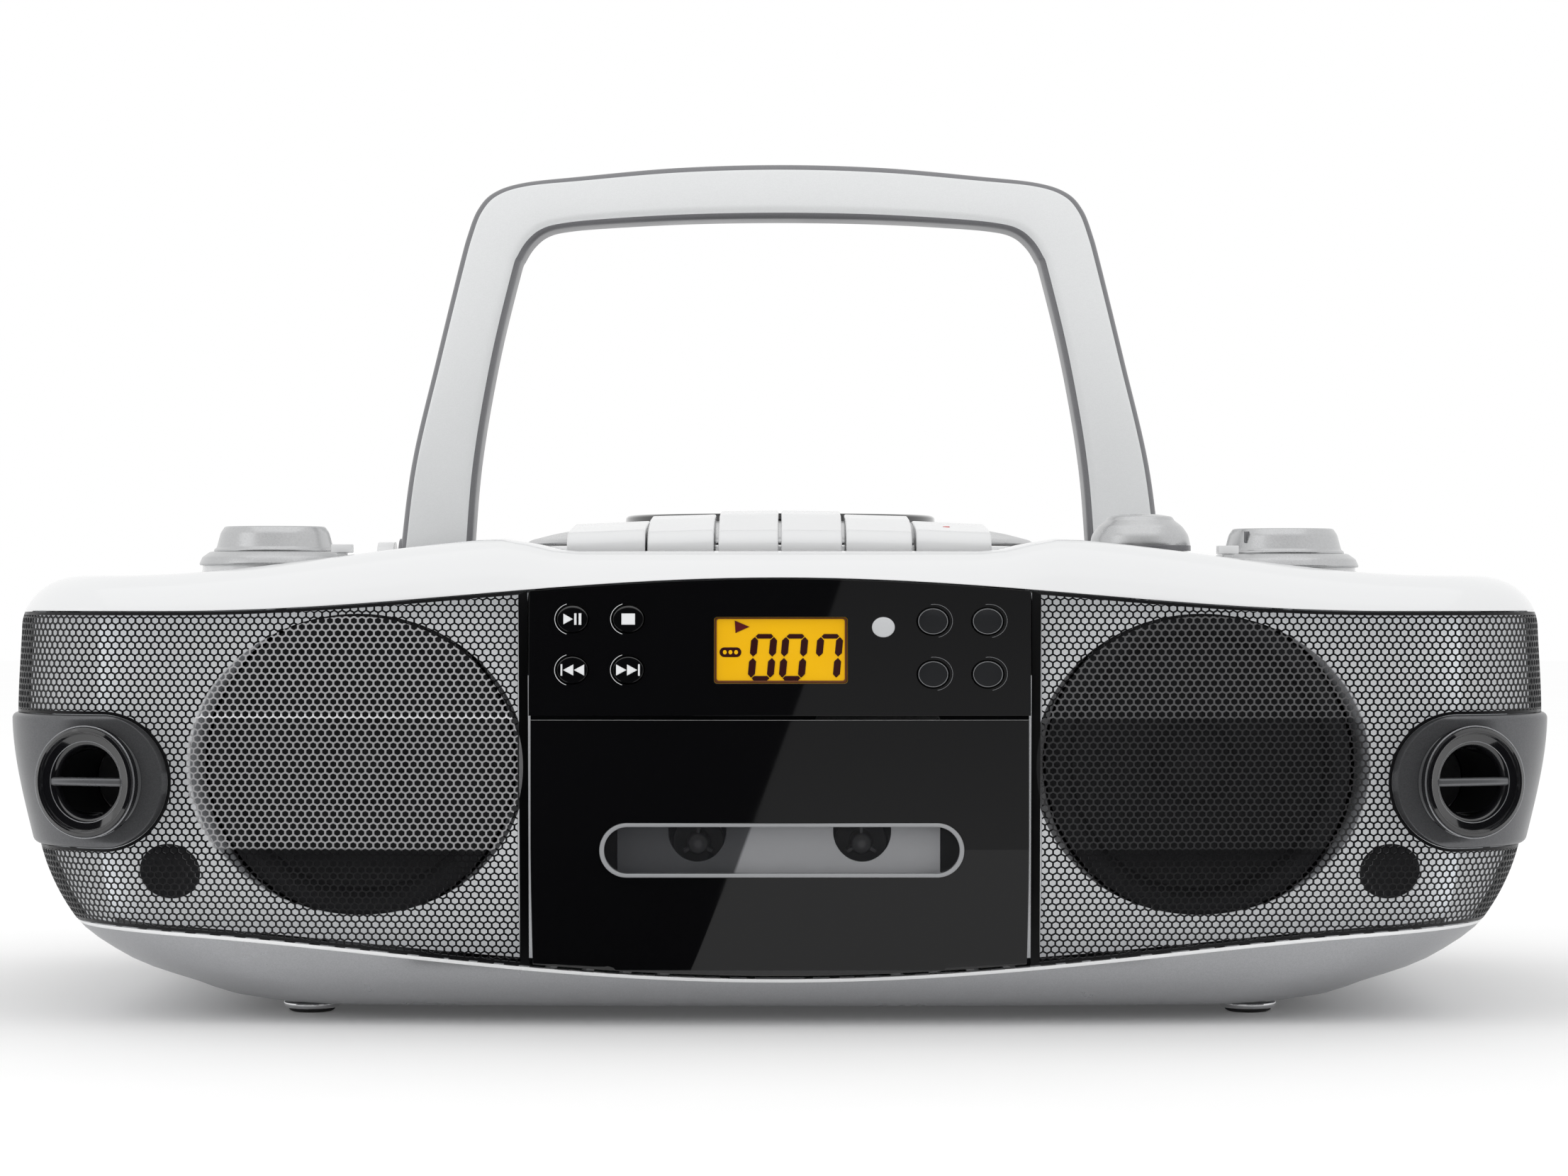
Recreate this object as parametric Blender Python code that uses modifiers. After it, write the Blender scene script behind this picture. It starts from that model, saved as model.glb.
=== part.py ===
"""Portable CD, radio and cassette player with a fold-down carrying handle.

Axes: +X right, +Y to the back, +Z up, origin on the floor under the middle of the set.
All sizes below are in millimetres, and every mesh is scaled to metres when it is made.
"""

import math

import bmesh
import bpy
from mathutils import Matrix, Vector

MM = 0.001
GAP = 0.3

# ---------------------------------------------------------------- cabinet outline
# height, half width, front, back and corner radius of the outline, from the bottom up
LEVELS = (
    (3.0, 132.0, 80.0, 84.0, 40.0),
    (4.2, 147.0, 92.0, 94.0, 42.0),
    (9.0, 160.0, 103.0, 102.0, 42.0),
    (15.4, 176.0, 110.0, 108.0, 42.0),
    (26.8, 190.0, 114.5, 111.0, 38.0),
    (47.3, 198.0, 120.0, 113.0, 35.0),
    (81.5, 204.0, 120.0, 113.0, 35.0),
    (104.0, 203.3, 118.5, 112.0, 35.0),
)
SHOULDER_Z = LEVELS[-1][0]
CROWN_INSET = 16.0
CROWN_STEPS = 4
FRONT_BOW = 10.0
BOW_AT = 170.0
FRONT_STEPS = 6
CORNER_STEPS = 4
WALL = 2.5

# ---------------------------------------------------------------- top deck
DECK_MIDDLE_Z = 128.3
DECK_DROP = 10.3
KEY_DIP = 3.8
REAR_DECK_Z = 110.3
REAR_STEP_Y = -8.0
REAR_PARTING_Z = 104.0
DRUM_Y = 21.0
DRUM_R = 79.0
DRUM_Z = 126.5

# ---------------------------------------------------------------- front
GRILLE_END_Y = -66.0
GRILLE_T = 1.2
GRILLE_INNER_X = 65.2
BAFFLE_INSET = 9.0
BAFFLE_T = 2.0
SPEAKER_X = 110.2
SPEAKER_Z = 68.5
SPEAKER_HALF = (44.3, 39.5)
SPEAKER_FRONT_Y = -96.5
TWEETER_HOLE = (160.0, 40.4, 8.25, 7.35)
TRIM_Z = (46.9, 81.7)
TRIM_END_X = 158.9
TRIM_PROUD = 1.5
PORT_X = 180.0
PORT_Z = 64.3
PORT_YAW = math.radians(20.0)
PORT_FACE_Y = -109.2
PANEL_X = 64.7
PANEL_BOTTOM = 81.8
PANEL_T = 2.2
LCD = (-16.9, 17.5, 90.1, 107.2)
SENSOR = (26.7, 104.6, 2.95, 2.6)
LEFT_BUTTONS = (("play_pause_button", -53.4, 106.7), ("stop_button", -39.0, 106.7),
                ("skip_back_button", -53.4, 93.6), ("skip_forward_button", -39.0, 93.6))
RIGHT_BUTTONS = (("usb_button", 39.5, 106.1), ("repeat_button", 53.6, 106.1),
                 ("program_button", 39.5, 92.5), ("sleep_button", 53.6, 92.5))
BUTTON_HALF = (3.95, 3.4)
BUTTON_CLEAR = 0.5

# ---------------------------------------------------------------- cassette deck
DOOR_X = 64.2
DOOR_TOP = 80.7
DOOR_T = 2.4
DOOR_HINGE = (0.0, -110.0, 17.5)
WINDOW = (-46.5, 47.6, 40.1, 54.3)
HOLDER_X = (53.0, 55.0)
DECK_Y = -97.0
HUB_X = 21.3
HUB_Z = 48.1
CAPSTAN = (26.0, 71.0)
HEAD_Z = (66.0, 74.0)

# ---------------------------------------------------------------- piano keys
KEYS = (("pause_key", -55.8, -35.3, 132.6), ("stop_eject_key", -34.7, -17.3, 134.6),
        ("fast_forward_key", -16.1, -0.4, 135.8), ("rewind_key", 0.4, 16.3, 135.8),
        ("play_key", 17.4, 34.7, 134.6), ("record_key", 35.8, 55.5, 132.6))
KEY_FRONT_Y = -101.4
KEY_BACK_Y = -60.0
KEY_HINGE = (-57.0, 121.5)
KEY_SLOT = (-57.4, 57.4, -103.4, -58.3)

# ---------------------------------------------------------------- knobs and slides
FUNCTION_KNOB = (-136.0, -72.0, 124.2)
VOLUME_KNOB = (97.0, -72.0, 124.6)
TUNING_KNOB = (135.5, -72.0, 123.6)
SLIDES = (("band_switch", -115.8, -90.5), ("bass_switch", 118.5, -90.5))
SLIDE_STEM_Z = 115.0

# ---------------------------------------------------------------- handle
HANDLE_Y = 5.0
HANDLE_Z = 120.0
HANDLE_HALF_T = 9.0
LEG_X = (89.0, 110.0)
LUG_X = (111.2, 116.0)

# ---------------------------------------------------------------- CD compartment
CD_HOLE_R = 66.0
LID_R = 74.5
LID_HINGE = (98.2, 129.2)

# ---------------------------------------------------------------- back and underside
FEET_X = 127.0
FEET_Y = (-64.0, 66.0)
BATTERY = (-98.0, 98.0, 31.0, 84.0)
ANTENNA = (155.0, 116.9, 98.0)
MAST_END = -40.0
INLET = (-140.0, 40.0)

PARTS = "cassette_player"
CUTTERS = "cutters"


# ================================================================ general helpers
def clear_scene():
    for obj in list(bpy.data.objects):
        bpy.data.objects.remove(obj, do_unlink=True)


def add_collection(name):
    collection = bpy.data.collections.new(name)
    bpy.context.scene.collection.children.link(collection)
    return collection


def make_material(name, colour, roughness=0.4, metallic=0.0, alpha=1.0):
    material = bpy.data.materials.new(name)
    material.use_nodes = True
    shader = material.node_tree.nodes["Principled BSDF"]
    shader.inputs["Base Color"].default_value = (*colour, 1.0)
    shader.inputs["Roughness"].default_value = roughness
    shader.inputs["Metallic"].default_value = metallic
    shader.inputs["Alpha"].default_value = alpha
    material.diffuse_color = (*colour, alpha)
    return material


def place(name, bm, material=None, origin=(0.0, 0.0, 0.0)):
    """Makes an object of a mesh in millimetres; one without a material is a cutter."""
    bmesh.ops.recalc_face_normals(bm, faces=bm.faces)
    bmesh.ops.translate(bm, vec=-Vector(origin), verts=bm.verts)
    bmesh.ops.scale(bm, vec=(MM, MM, MM), verts=bm.verts)
    mesh = bpy.data.meshes.new(name)
    bm.to_mesh(mesh)
    bm.free()
    return link(bpy.data.objects.new(name, mesh), material, origin)


def link(obj, material, origin):
    obj.location = Vector(origin) * MM
    if material is None:
        bpy.data.collections[CUTTERS].objects.link(obj)
        obj.hide_render = True
        obj.display_type = "WIRE"
        return obj
    bpy.data.collections[PARTS].objects.link(obj)
    obj.data.materials.append(bpy.data.materials[material])
    obj.data.shade_smooth()
    obj.data.set_sharp_from_angle(angle=math.radians(32.0))
    return obj


def combine(obj, operation, other):
    modifier = obj.modifiers.new(f"{operation.lower()} {other.name}", "BOOLEAN")
    modifier.operation = operation
    modifier.object = other
    modifier.solver = "EXACT"


def cut(obj, *cutters):
    for cutter in cutters:
        combine(obj, "DIFFERENCE", cutter)


def join(obj, *others):
    for other in others:
        combine(obj, "UNION", other)


def keep_inside(obj, *others):
    for other in others:
        combine(obj, "INTERSECT", other)


def round_edges(obj, width, segments=2, angle=40.0):
    bevel = obj.modifiers.new("rounded edges", "BEVEL")
    bevel.width = width * MM
    bevel.segments = segments
    bevel.limit_method = "ANGLE"
    bevel.angle_limit = math.radians(angle)


# ================================================================ basic shapes, in mm
def box(x0, x1, y0, y1, z0, z1):
    bm = bmesh.new()
    bmesh.ops.create_cube(bm, size=1.0)
    bmesh.ops.scale(bm, vec=(x1 - x0, y1 - y0, z1 - z0), verts=bm.verts)
    bmesh.ops.translate(bm, vec=((x0 + x1) / 2, (y0 + y1) / 2, (z0 + z1) / 2), verts=bm.verts)
    return bm


def rod(start, end, radius, segments=20, end_radius=None):
    start = Vector(start)
    span = Vector(end) - start
    turn = Vector((0, 0, 1)).rotation_difference(span).to_matrix().to_4x4()
    bm = bmesh.new()
    bmesh.ops.create_cone(bm, cap_ends=True, segments=segments, radius1=radius, depth=span.length,
                          radius2=radius if end_radius is None else end_radius)
    bmesh.ops.transform(bm, matrix=Matrix.Translation(start + span / 2) @ turn, verts=bm.verts)
    return bm


def prism(outline, y0, y1):
    """A closed outline of (x, z) points, pushed from y0 to y1."""
    bm = bmesh.new()
    face = bm.faces.new([bm.verts.new((x, y0, z)) for x, z in outline])
    pushed = bmesh.ops.extrude_face_region(bm, geom=[face])["geom"]
    verts = [item for item in pushed if isinstance(item, bmesh.types.BMVert)]
    bmesh.ops.translate(bm, vec=(0, y1 - y0, 0), verts=verts)
    return bm


def ellipse(x, z, half_x, half_z, steps=32):
    angles = [2 * math.pi * step / steps for step in range(steps)]
    return [(x + half_x * math.cos(a), z + half_z * math.sin(a)) for a in angles]


def stadium(x0, x1, z0, z1, steps=8):
    radius = (z1 - z0) / 2
    middle = (z0 + z1) / 2
    points = []
    for x, first in ((x1 - radius, -90.0), (x0 + radius, 90.0)):
        for step in range(steps + 1):
            angle = math.radians(first + 180.0 * step / steps)
            points.append((x + radius * math.cos(angle), middle + radius * math.sin(angle)))
    return points


def turned(name, profile, material=None, centre=(0.0, 0.0, 0.0), axis=(0, 0, 1), segments=28, closed=False):
    """Turns (radius, height) points about an axis; the profile runs down its outer side."""
    mesh = bpy.data.meshes.new(name)
    points = [(radius * MM, 0.0, height * MM) for radius, height in profile]
    edges = [(i, i + 1) for i in range(len(points) - 1)]
    if closed:
        edges.append((len(points) - 1, 0))
    mesh.from_pydata(points, edges, [])
    obj = link(bpy.data.objects.new(name, mesh), material, centre)
    obj.rotation_mode = "QUATERNION"
    obj.rotation_quaternion = Vector((0, 0, 1)).rotation_difference(Vector(axis))
    screw = obj.modifiers.new("turned", "SCREW")
    screw.axis = "Z"
    screw.steps = segments
    screw.render_steps = segments
    screw.use_merge_vertices = True
    screw.merge_threshold = 0.00001
    return obj


# ================================================================ cabinet form
def smooth(t):
    t = max(0.0, min(1.0, t))
    return t * t * (3.0 - 2.0 * t)


def upper_edge(x):
    """Height of the line where the top cabinet ends."""
    return 113.05 + 4.35 * math.cos(math.pi * min(abs(x), 160.0) / 160.0)


def lower_edge(x):
    """Height of the line where the bottom cabinet ends."""
    return 19.6 - 6.7 * math.cos(math.pi * min(abs(x), 200.0) / 200.0)


def deck_height(x):
    shoulder = DECK_DROP * smooth((abs(x) - 55.0) / 120.0)
    dip = KEY_DIP * (1.0 - smooth((abs(x) - 54.0) / 20.0))
    return DECK_MIDDLE_Z - shoulder - dip


def outline(half_width, front, back, corner):
    """The cabinet's outline at one height, right half, from front middle to rear middle."""
    slope = math.atan(2.0 * FRONT_BOW / BOW_AT)
    points = []
    for depth, bow, lean in ((-front, FRONT_BOW, slope), (back, 0.0, 0.0)):
        side = -1.0 if depth < 0 else 1.0
        edge = half_width - corner * (1.0 - math.sin(lean))
        chain = []
        for step in range(FRONT_STEPS):
            x = edge * step / FRONT_STEPS
            chain.append((x, depth + bow * (x / BOW_AT) ** 2))
        start_y = depth + bow * (edge / BOW_AT) ** 2
        centre_y = start_y - side * corner * math.cos(lean)
        for step in range(CORNER_STEPS + 1):
            angle = math.radians(90.0) - lean - (math.radians(90.0) - lean) * step / CORNER_STEPS
            x = half_width - corner + corner * math.cos(angle)
            chain.append((x, centre_y + side * corner * math.sin(angle)))
        points.append(chain)
    front_chain, back_chain = points
    middle = (half_width, (front_chain[-1][1] + back_chain[-1][1]) / 2)
    return front_chain + [middle] + back_chain[::-1]


def both_halves(half):
    """Adds the left half; the two points on the middle plane are shared."""
    left = [(-x, y) for x, y in half[-2:0:-1]]
    return half + left


def hull(inset):
    """The cabinet's closed form, drawn in by a wall's thickness."""
    bm = bmesh.new()
    rings = []
    for height, half_width, front, back, corner in LEVELS:
        lift = inset * max(0.0, min(1.0, (26.8 - height) / 20.0))
        ring = both_halves(outline(half_width - inset, front - inset, back - inset, corner - inset))
        rings.append([bm.verts.new((x, y, height + lift)) for x, y in ring])
    _, half_width, front, back, corner = LEVELS[-1]
    for step in range(1, CROWN_STEPS + 1):
        angle = math.radians(90.0) * step / CROWN_STEPS
        drawn = inset + CROWN_INSET * (1.0 - math.cos(angle))
        ring = both_halves(outline(half_width - drawn, front - drawn, back - drawn, max(corner - drawn, 12.0)))
        rise = math.sin(angle)
        rings.append([bm.verts.new((x, y, SHOULDER_Z + (deck_height(x) - inset - SHOULDER_Z) * rise))
                      for x, y in ring])
    count = len(rings[0])
    for below, above in zip(rings, rings[1:]):
        for i in range(count):
            j = (i + 1) % count
            bm.faces.new((below[i], below[j], above[j], above[i]))
    bm.faces.new(rings[0][::-1])
    close_top(bm, rings[-1])
    return bm


def close_top(bm, ring):
    """Closes the crown with straight ribs from its front edge to its rear edge."""
    half = len(ring) // 2
    side = half // 2
    for i in range(-side, side):
        corners = [ring[i], ring[i + 1], ring[(half - i - 1) % len(ring)], ring[(half - i) % len(ring)]]
        kept = [corner for index, corner in enumerate(corners) if corner not in corners[:index]]
        bm.faces.new(kept)


def edge_outline(x0, x1, low, high, steps=10):
    """A region between two heights, either of which may follow an edge line, in (x, z)."""
    xs = [x0 + (x1 - x0) * step / steps for step in range(steps + 1)]
    bottom = [(x, low(x)) for x in xs]
    top = [(x, high(x)) for x in reversed(xs)]
    return bottom + top


def wall(name, material, outer, thickness, region_object):
    """A wall of the cabinet's form between two insets, kept where the region is."""
    obj = place(name, hull(outer), material)
    inner_name = f"form inset {outer + thickness:.1f}"
    inner = bpy.data.objects.get(inner_name) or place(inner_name, hull(outer + thickness))
    cut(obj, inner)
    keep_inside(obj, region_object)
    return obj


# ================================================================ cabinet shells
def cabinet_regions():
    """Cutters that split the form along its edge lines; behind the grilles the line is straight."""
    lift = GAP / 2
    top = place("top region", prism(edge_outline(-230, 230, lambda x: upper_edge(x) + lift, lambda x: 200.0, 18),
                                    -200, GRILLE_END_Y + 1))
    join(top, place("top rear region", box(-240, 240, GRILLE_END_Y, 210, REAR_PARTING_Z + lift, 190)))
    bottom = place("bottom region", prism(edge_outline(-230, 230, lambda x: -20.0,
                                                       lambda x: lower_edge(x) - lift, 18), -200, 200))
    back = place("back region", prism(edge_outline(-230, 230, lambda x: lower_edge(x) + lift,
                                                   lambda x: REAR_PARTING_Z - lift, 14), GRILLE_END_Y + GAP, 200))
    return top, bottom, back


def rear_step(inset):
    """What is taken off behind the front deck, where the folded handle lies."""
    return place(f"rear step {inset:.1f}",
                 box(-230, 230, REAR_STEP_Y - inset, 200, REAR_DECK_Z - inset, 160))


def cd_drum(inset):
    return place(f"CD drum {inset:.1f}",
                 rod((0, DRUM_Y, 90), (0, DRUM_Y, DRUM_Z - inset), DRUM_R - inset, 32))


def top_hollow():
    """The space inside the top cabinet."""
    hollow = place("top hollow", hull(WALL))
    cut(hollow, rear_step(WALL))
    join(hollow, cd_drum(WALL))
    return hollow


def make_top_cabinet(region):
    top = place("top_cabinet", hull(0.0), "white_plastic")
    cut(top, rear_step(0.0))
    join(top, cd_drum(0.0))
    for name, knob, radius in (("function", FUNCTION_KNOB, 19.0), ("tuning", TUNING_KNOB, 19.0)):
        x, y, z = knob
        join(top, place(f"{name} knob seat", rod((x, y, 100), (x, y, z - GAP), radius, 20)))
    x, y, z = VOLUME_KNOB
    cut(top, place("volume knob recess", rod((x, y, z - GAP), (x, y, 160), 15.0, 20)))
    for side in (-1, 1):
        lug = place(f"handle lug {side}", box(*sorted((side * LUG_X[0], side * LUG_X[1])),
                                              HANDLE_Y - 8, HANDLE_Y + 8, 109, 122))
        head = place(f"handle lug head {side}", rod((side * LUG_X[0], HANDLE_Y, HANDLE_Z),
                                                    (side * LUG_X[1], HANDLE_Y, HANDLE_Z), 8.0, 20))
        pin = place(f"handle lug pin {side}", rod((side * 101, HANDLE_Y, HANDLE_Z),
                                                  (side * LUG_X[1], HANDLE_Y, HANDLE_Z), 4.0, 16))
        join(top, lug, head, pin)
        join(top, place(f"lid lug {side}", box(*sorted((side * 20.0, side * 24.0)), 95.0, 100.6, 124, 131.6)))
    cut(top, top_hollow())
    keep_inside(top, region)
    cut(top, place("key slot", box(*KEY_SLOT, 100, 160)))
    cut(top, place("CD opening", rod((0, DRUM_Y, 118), (0, DRUM_Y, 135), CD_HOLE_R, 32)))
    for name, knob in (("function", FUNCTION_KNOB), ("tuning", TUNING_KNOB), ("volume", VOLUME_KNOB)):
        cut(top, place(f"{name} shaft hole", rod((knob[0], knob[1], 100), (knob[0], knob[1], 140), 3.4, 16)))
    for name, x, y in SLIDES:
        cut(top, place(f"{name} slot", box(x - 1.6, x + 1.6, y - 5.0, y + 5.0, 100, 140)))
    for side in (-1, 1):
        cut(top, place(f"lid pin hole {side}", rod((side * 19.0, *LID_HINGE), (side * 22.8, *LID_HINGE), 1.6, 12)))
    return top


def make_bottom_cabinet(region):
    bottom = wall("bottom_cabinet", "silver_plastic", 0.0, WALL, region)
    slots = [place(f"vent {step}", box(-60 + 20 * step, -56 + 20 * step, -20, 30, 0, 8)) for step in range(7)]
    cut(bottom, *slots)


def make_rear_cabinet(region):
    rear = wall("rear_cabinet", "black_plastic", 0.0, WALL, region)
    x0, x1, z0, z1 = BATTERY
    bay = place("battery bay walls", box(x0 - 2, x1 + 2, 74, 112, z0 - 2, z1 + 2))
    room = place("battery bay room", box(x0, x1, 76, 130, z0, z1))
    seat = place("battery door seat", box(x0 - 5, x1 + 5, 110.0, 130, z0 - 3, z1 + 3))
    join(rear, bay)
    cut(rear, room, seat)
    x, z = INLET
    cut(rear, place("inlet hole", box(x - 12, x + 12, 100, 130, z - 8, z + 8)))
    ax, _, az = ANTENNA
    cut(rear, place("antenna hole", rod((ax, 90, az), (ax, 130, az), 3.4, 16)))


# ================================================================ front
def grille_region(side):
    xs = sorted((side * GRILLE_INNER_X, side * 215.0))
    outline_xz = edge_outline(*xs, lambda x: lower_edge(x) + GAP, lambda x: upper_edge(x) - GAP, 12)
    return place(f"grille region {side}", prism(outline_xz, -200, GRILLE_END_Y))


def trim_region(side, spare):
    radius = (TRIM_Z[1] - TRIM_Z[0]) / 2 + spare
    end = TRIM_END_X + radius - 2 * spare
    xs = sorted((side * (end - radius + spare), side * 240.0))
    points = stadium(*xs, TRIM_Z[0] - spare, TRIM_Z[1] + spare, 10)
    return place(f"trim region {side} {spare:.1f}", prism(points, -200, GRILLE_END_Y + spare))


def port_line(side, depth):
    """A point on the port's axis, a given depth inside the cabinet."""
    return (side * (PORT_X - depth * math.sin(PORT_YAW)), PORT_FACE_Y + depth * math.cos(PORT_YAW), PORT_Z)


def make_side(side, name):
    grille = wall(f"{name}_grille", "black_metal", 0.0, GRILLE_T, grille_region(side))
    cut(grille, trim_region(side, GAP))
    trim = wall(f"{name}_port_trim", "trim_plastic", -TRIM_PROUD, 2 * TRIM_PROUD, trim_region(side, 0.0))
    cut(trim, place(f"port hole {side}", rod(port_line(side, -20), port_line(side, 20), 12.8, 20)))
    axis = Vector(port_line(side, -1)) - Vector(port_line(side, 0))
    profile = ((12.6, 2.4), (13.5, 1.8), (13.5, 0.4), (12.2, 0.2), (12.2, -24.0), (10.6, -24.0),
               (9.0, -12.0), (10.4, 0.0), (11.4, 2.2))
    tube = turned(f"{name}_port_tube", profile, "gloss_black", port_line(side, 0), axis, 20, closed=True)
    start, end = Vector(port_line(side, 0.0)), Vector(port_line(side, 6.0))
    bar = place(f"port bar {side}", port_bar(start, end, side))
    join(tube, bar)


def port_bar(start, end, side):
    middle = (start + end) / 2
    bm = box(-11.2, 11.2, -3.0, 3.0, -1.5, 1.5)
    bmesh.ops.rotate(bm, matrix=Matrix.Rotation(side * PORT_YAW, 3, "Z"), verts=bm.verts)
    bmesh.ops.translate(bm, vec=middle, verts=bm.verts)
    return bm


def make_baffle():
    region = place("baffle region", prism(edge_outline(-190, 190, lambda x: lower_edge(x) + 3,
                                                       lambda x: upper_edge(x) - 10, 12), -200, -70))
    baffle = wall("front_baffle", "silver_paint", BAFFLE_INSET, BAFFLE_T, region)
    for side in (-1, 1):
        cut(baffle, place(f"speaker hole {side}", prism(ellipse(side * SPEAKER_X, SPEAKER_Z, *SPEAKER_HALF, 28),
                                                        -140, -80)))
        x, z, half_x, half_z = TWEETER_HOLE
        cut(baffle, place(f"small hole {side}", prism(ellipse(side * x, z, half_x, half_z, 20), -140, -80)))
        cut(baffle, place(f"port clearance {side}", rod(port_line(side, -20), port_line(side, 40), 13.4, 20)))
    cut(baffle, place("cassette opening", box(-59, 59, -140, -70, 0, 79.5)))


def make_speaker(side, name):
    centre = (side * SPEAKER_X, SPEAKER_FRONT_Y, SPEAKER_Z)
    frame = ((41.0, 0.0), (45.0, 0.0), (45.0, -2.0), (38.0, -6.0), (26.0, -22.0), (26.0, -26.0), (24.0, -26.0),
             (24.0, -42.0), (5.0, -42.0), (5.0, -24.0), (22.5, -24.0), (24.0, -20.0), (36.5, -5.4), (41.0, -2.8))
    turned(f"{name}_speaker_frame", frame, "steel", centre, (0, -1, 0), 20, closed=True)
    cone = ((0.0, -9.0), (6.0, -10.2), (11.0, -13.5), (33.0, -3.0), (36.5, -0.2), (40.2, -1.2), (40.2, -2.2),
            (36.5, -1.6), (33.5, -4.6), (11.5, -16.0), (0.0, -16.0))
    turned(f"{name}_speaker_cone", cone, "cone_paper", centre, (0, -1, 0), 20)


def make_control_panel():
    region = place("panel region", prism(edge_outline(-PANEL_X, PANEL_X, lambda x: PANEL_BOTTOM,
                                                      lambda x: upper_edge(x) - GAP, 10), -200, -70))
    panel = wall("control_panel", "gloss_black", 0.0, PANEL_T, region)
    x0, x1, z0, z1 = LCD
    cut(panel, place("display window", box(x0, x1, -140, -90, z0, z1)))
    for name, x, z in LEFT_BUTTONS + RIGHT_BUTTONS:
        halves = [half + BUTTON_CLEAR for half in BUTTON_HALF]
        cut(panel, place(f"{name} hole", prism(ellipse(x, z, *halves, 16), -140, -90)))
    x, z, half_x, half_z = SENSOR
    cut(panel, place("sensor hole", prism(ellipse(x, z, half_x + GAP, half_z + GAP, 16), -140, -90)))
    place("display_module", box(x0 - 3, x1 + 3, -115.0, -111.6, z0 - 1.5, z1 + 1.5), "lcd_amber")
    place("remote_sensor", prism(ellipse(x, z, half_x, half_z, 20), -118.4, -112.0), "sensor_grey")


def front_y(x, z):
    """The front of the cabinet near the middle, good to a few tenths."""
    levels = [(height, front) for height, _, front, _, _ in LEVELS]
    front = levels[-1][1]
    for (z0, f0), (z1, f1) in zip(levels, levels[1:]):
        if z0 <= z <= z1:
            front = f0 + (f1 - f0) * (z - z0) / (z1 - z0)
    return -front + FRONT_BOW * (x / BOW_AT) ** 2


def make_buttons():
    for name, x, z in LEFT_BUTTONS + RIGHT_BUTTONS:
        y = front_y(x, z)
        origin = (x, y, z)
        place(name, prism(ellipse(x, z, *BUTTON_HALF, 16), y - 0.7, y + 5.5), "gloss_black", origin)


# ================================================================ cassette deck
def make_cassette_door():
    bottom_gap = 0.9
    region = place("door region", prism(edge_outline(-DOOR_X, DOOR_X, lambda x: lower_edge(x) + bottom_gap,
                                                     lambda x: DOOR_TOP, 10), -200, -70))
    door = place("cassette_door", hull(0.0), "gloss_black", DOOR_HINGE)
    cut(door, bpy.data.objects[f"form inset {PANEL_T:.1f}"])
    keep_inside(door, region)
    cut(door, place("door window", prism(stadium(*WINDOW), -140, -90)))
    holder = place("cassette holder", box(-HOLDER_X[1], HOLDER_X[1], -125, -101.0, 34, 70))
    cut(holder, place("cassette space", box(-HOLDER_X[0], HOLDER_X[0], -130, -90, 36, 80)))
    keep_inside(holder, place("form inset 1.0", hull(1.0)))
    join(door, holder)
    x0, x1, z0, z1 = WINDOW
    glass = place("cassette_window", hull(3.0), "clear_plastic", DOOR_HINGE)
    cut(glass, place("form inset 4.4", hull(4.4)))
    keep_inside(glass, place("window region", box(x0 - 2.5, x1 + 2.5, -140, -70, z0 - 2.5, z1 + 2.5)))


def make_deck():
    plate = place("deck_plate", box(-57, 57, DECK_Y, DECK_Y + 1.5, 18, 79), "grey_plastic")
    for side in (-1, 1):
        cut(plate, place(f"hub hole {side}", rod((side * HUB_X, DECK_Y - 5, HUB_Z), (side * HUB_X, DECK_Y + 5, HUB_Z),
                                                 7.4, 24)))
    cx, cz = CAPSTAN
    cut(plate, place("capstan hole", rod((cx, DECK_Y - 5, cz), (cx, DECK_Y + 5, cz), 2.0, 12)))
    cut(plate, place("head slot", box(-5, 5, DECK_Y - 5, DECK_Y + 5, HEAD_Z[0] - 3, HEAD_Z[1] + 1)))
    hub = ((0.0, 11.0), (2.6, 10.0), (3.2, 6.0), (3.2, 1.0), (6.6, 0.5), (6.6, -6.0), (2.0, -6.0), (2.0, -9.0),
           (0.0, -9.0))
    for name, side in (("supply_spindle", -1), ("takeup_spindle", 1)):
        turned(name, hub, "grey_plastic", (side * HUB_X, DECK_Y, HUB_Z), (0, -1, 0), 20)
    flywheel = ((0.0, 9.0), (1.2, 9.0), (1.2, -10.0), (19.0, -10.0), (19.0, -14.0), (2.0, -14.0), (2.0, -17.0),
                (0.0, -17.0))
    turned("capstan_flywheel", flywheel, "steel", (cx, DECK_Y, cz), (0, -1, 0), 20)
    head = place("tape_head", box(-6.5, 6.5, -105.0, DECK_Y - GAP, *HEAD_Z), "steel", (0, DECK_Y, HEAD_Z[0]))
    join(head, place("head stem", box(-3, 3, -99, DECK_Y + 4, HEAD_Z[0] + 1, HEAD_Z[1] - 1)))
    turned("deck_motor", ((0.0, 0.0), (14.0, 0.0), (14.0, -22.0), (4.0, -22.0), (4.0, -25.0), (0.0, -25.0)),
           "steel", (-39.0, DECK_Y + 1.5 + GAP, 63.5), (0, -1, 0), 20)


def make_keys():
    for name, x0, x1, top_z in KEYS:
        outline_yz = ((KEY_FRONT_Y, 119.0), (KEY_BACK_Y, 119.0), (KEY_BACK_Y, top_z), (KEY_FRONT_Y + 2.5, 129.6),
                      (KEY_FRONT_Y, 127.6))
        bm = bmesh.new()
        face = bm.faces.new([bm.verts.new((x0, y, z)) for y, z in outline_yz])
        pushed = bmesh.ops.extrude_face_region(bm, geom=[face])["geom"]
        verts = [item for item in pushed if isinstance(item, bmesh.types.BMVert)]
        bmesh.ops.translate(bm, vec=(x1 - x0, 0, 0), verts=verts)
        key = place(name, bm, "white_plastic", ((x0 + x1) / 2, *KEY_HINGE))
        round_edges(key, 0.6, 1)


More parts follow.
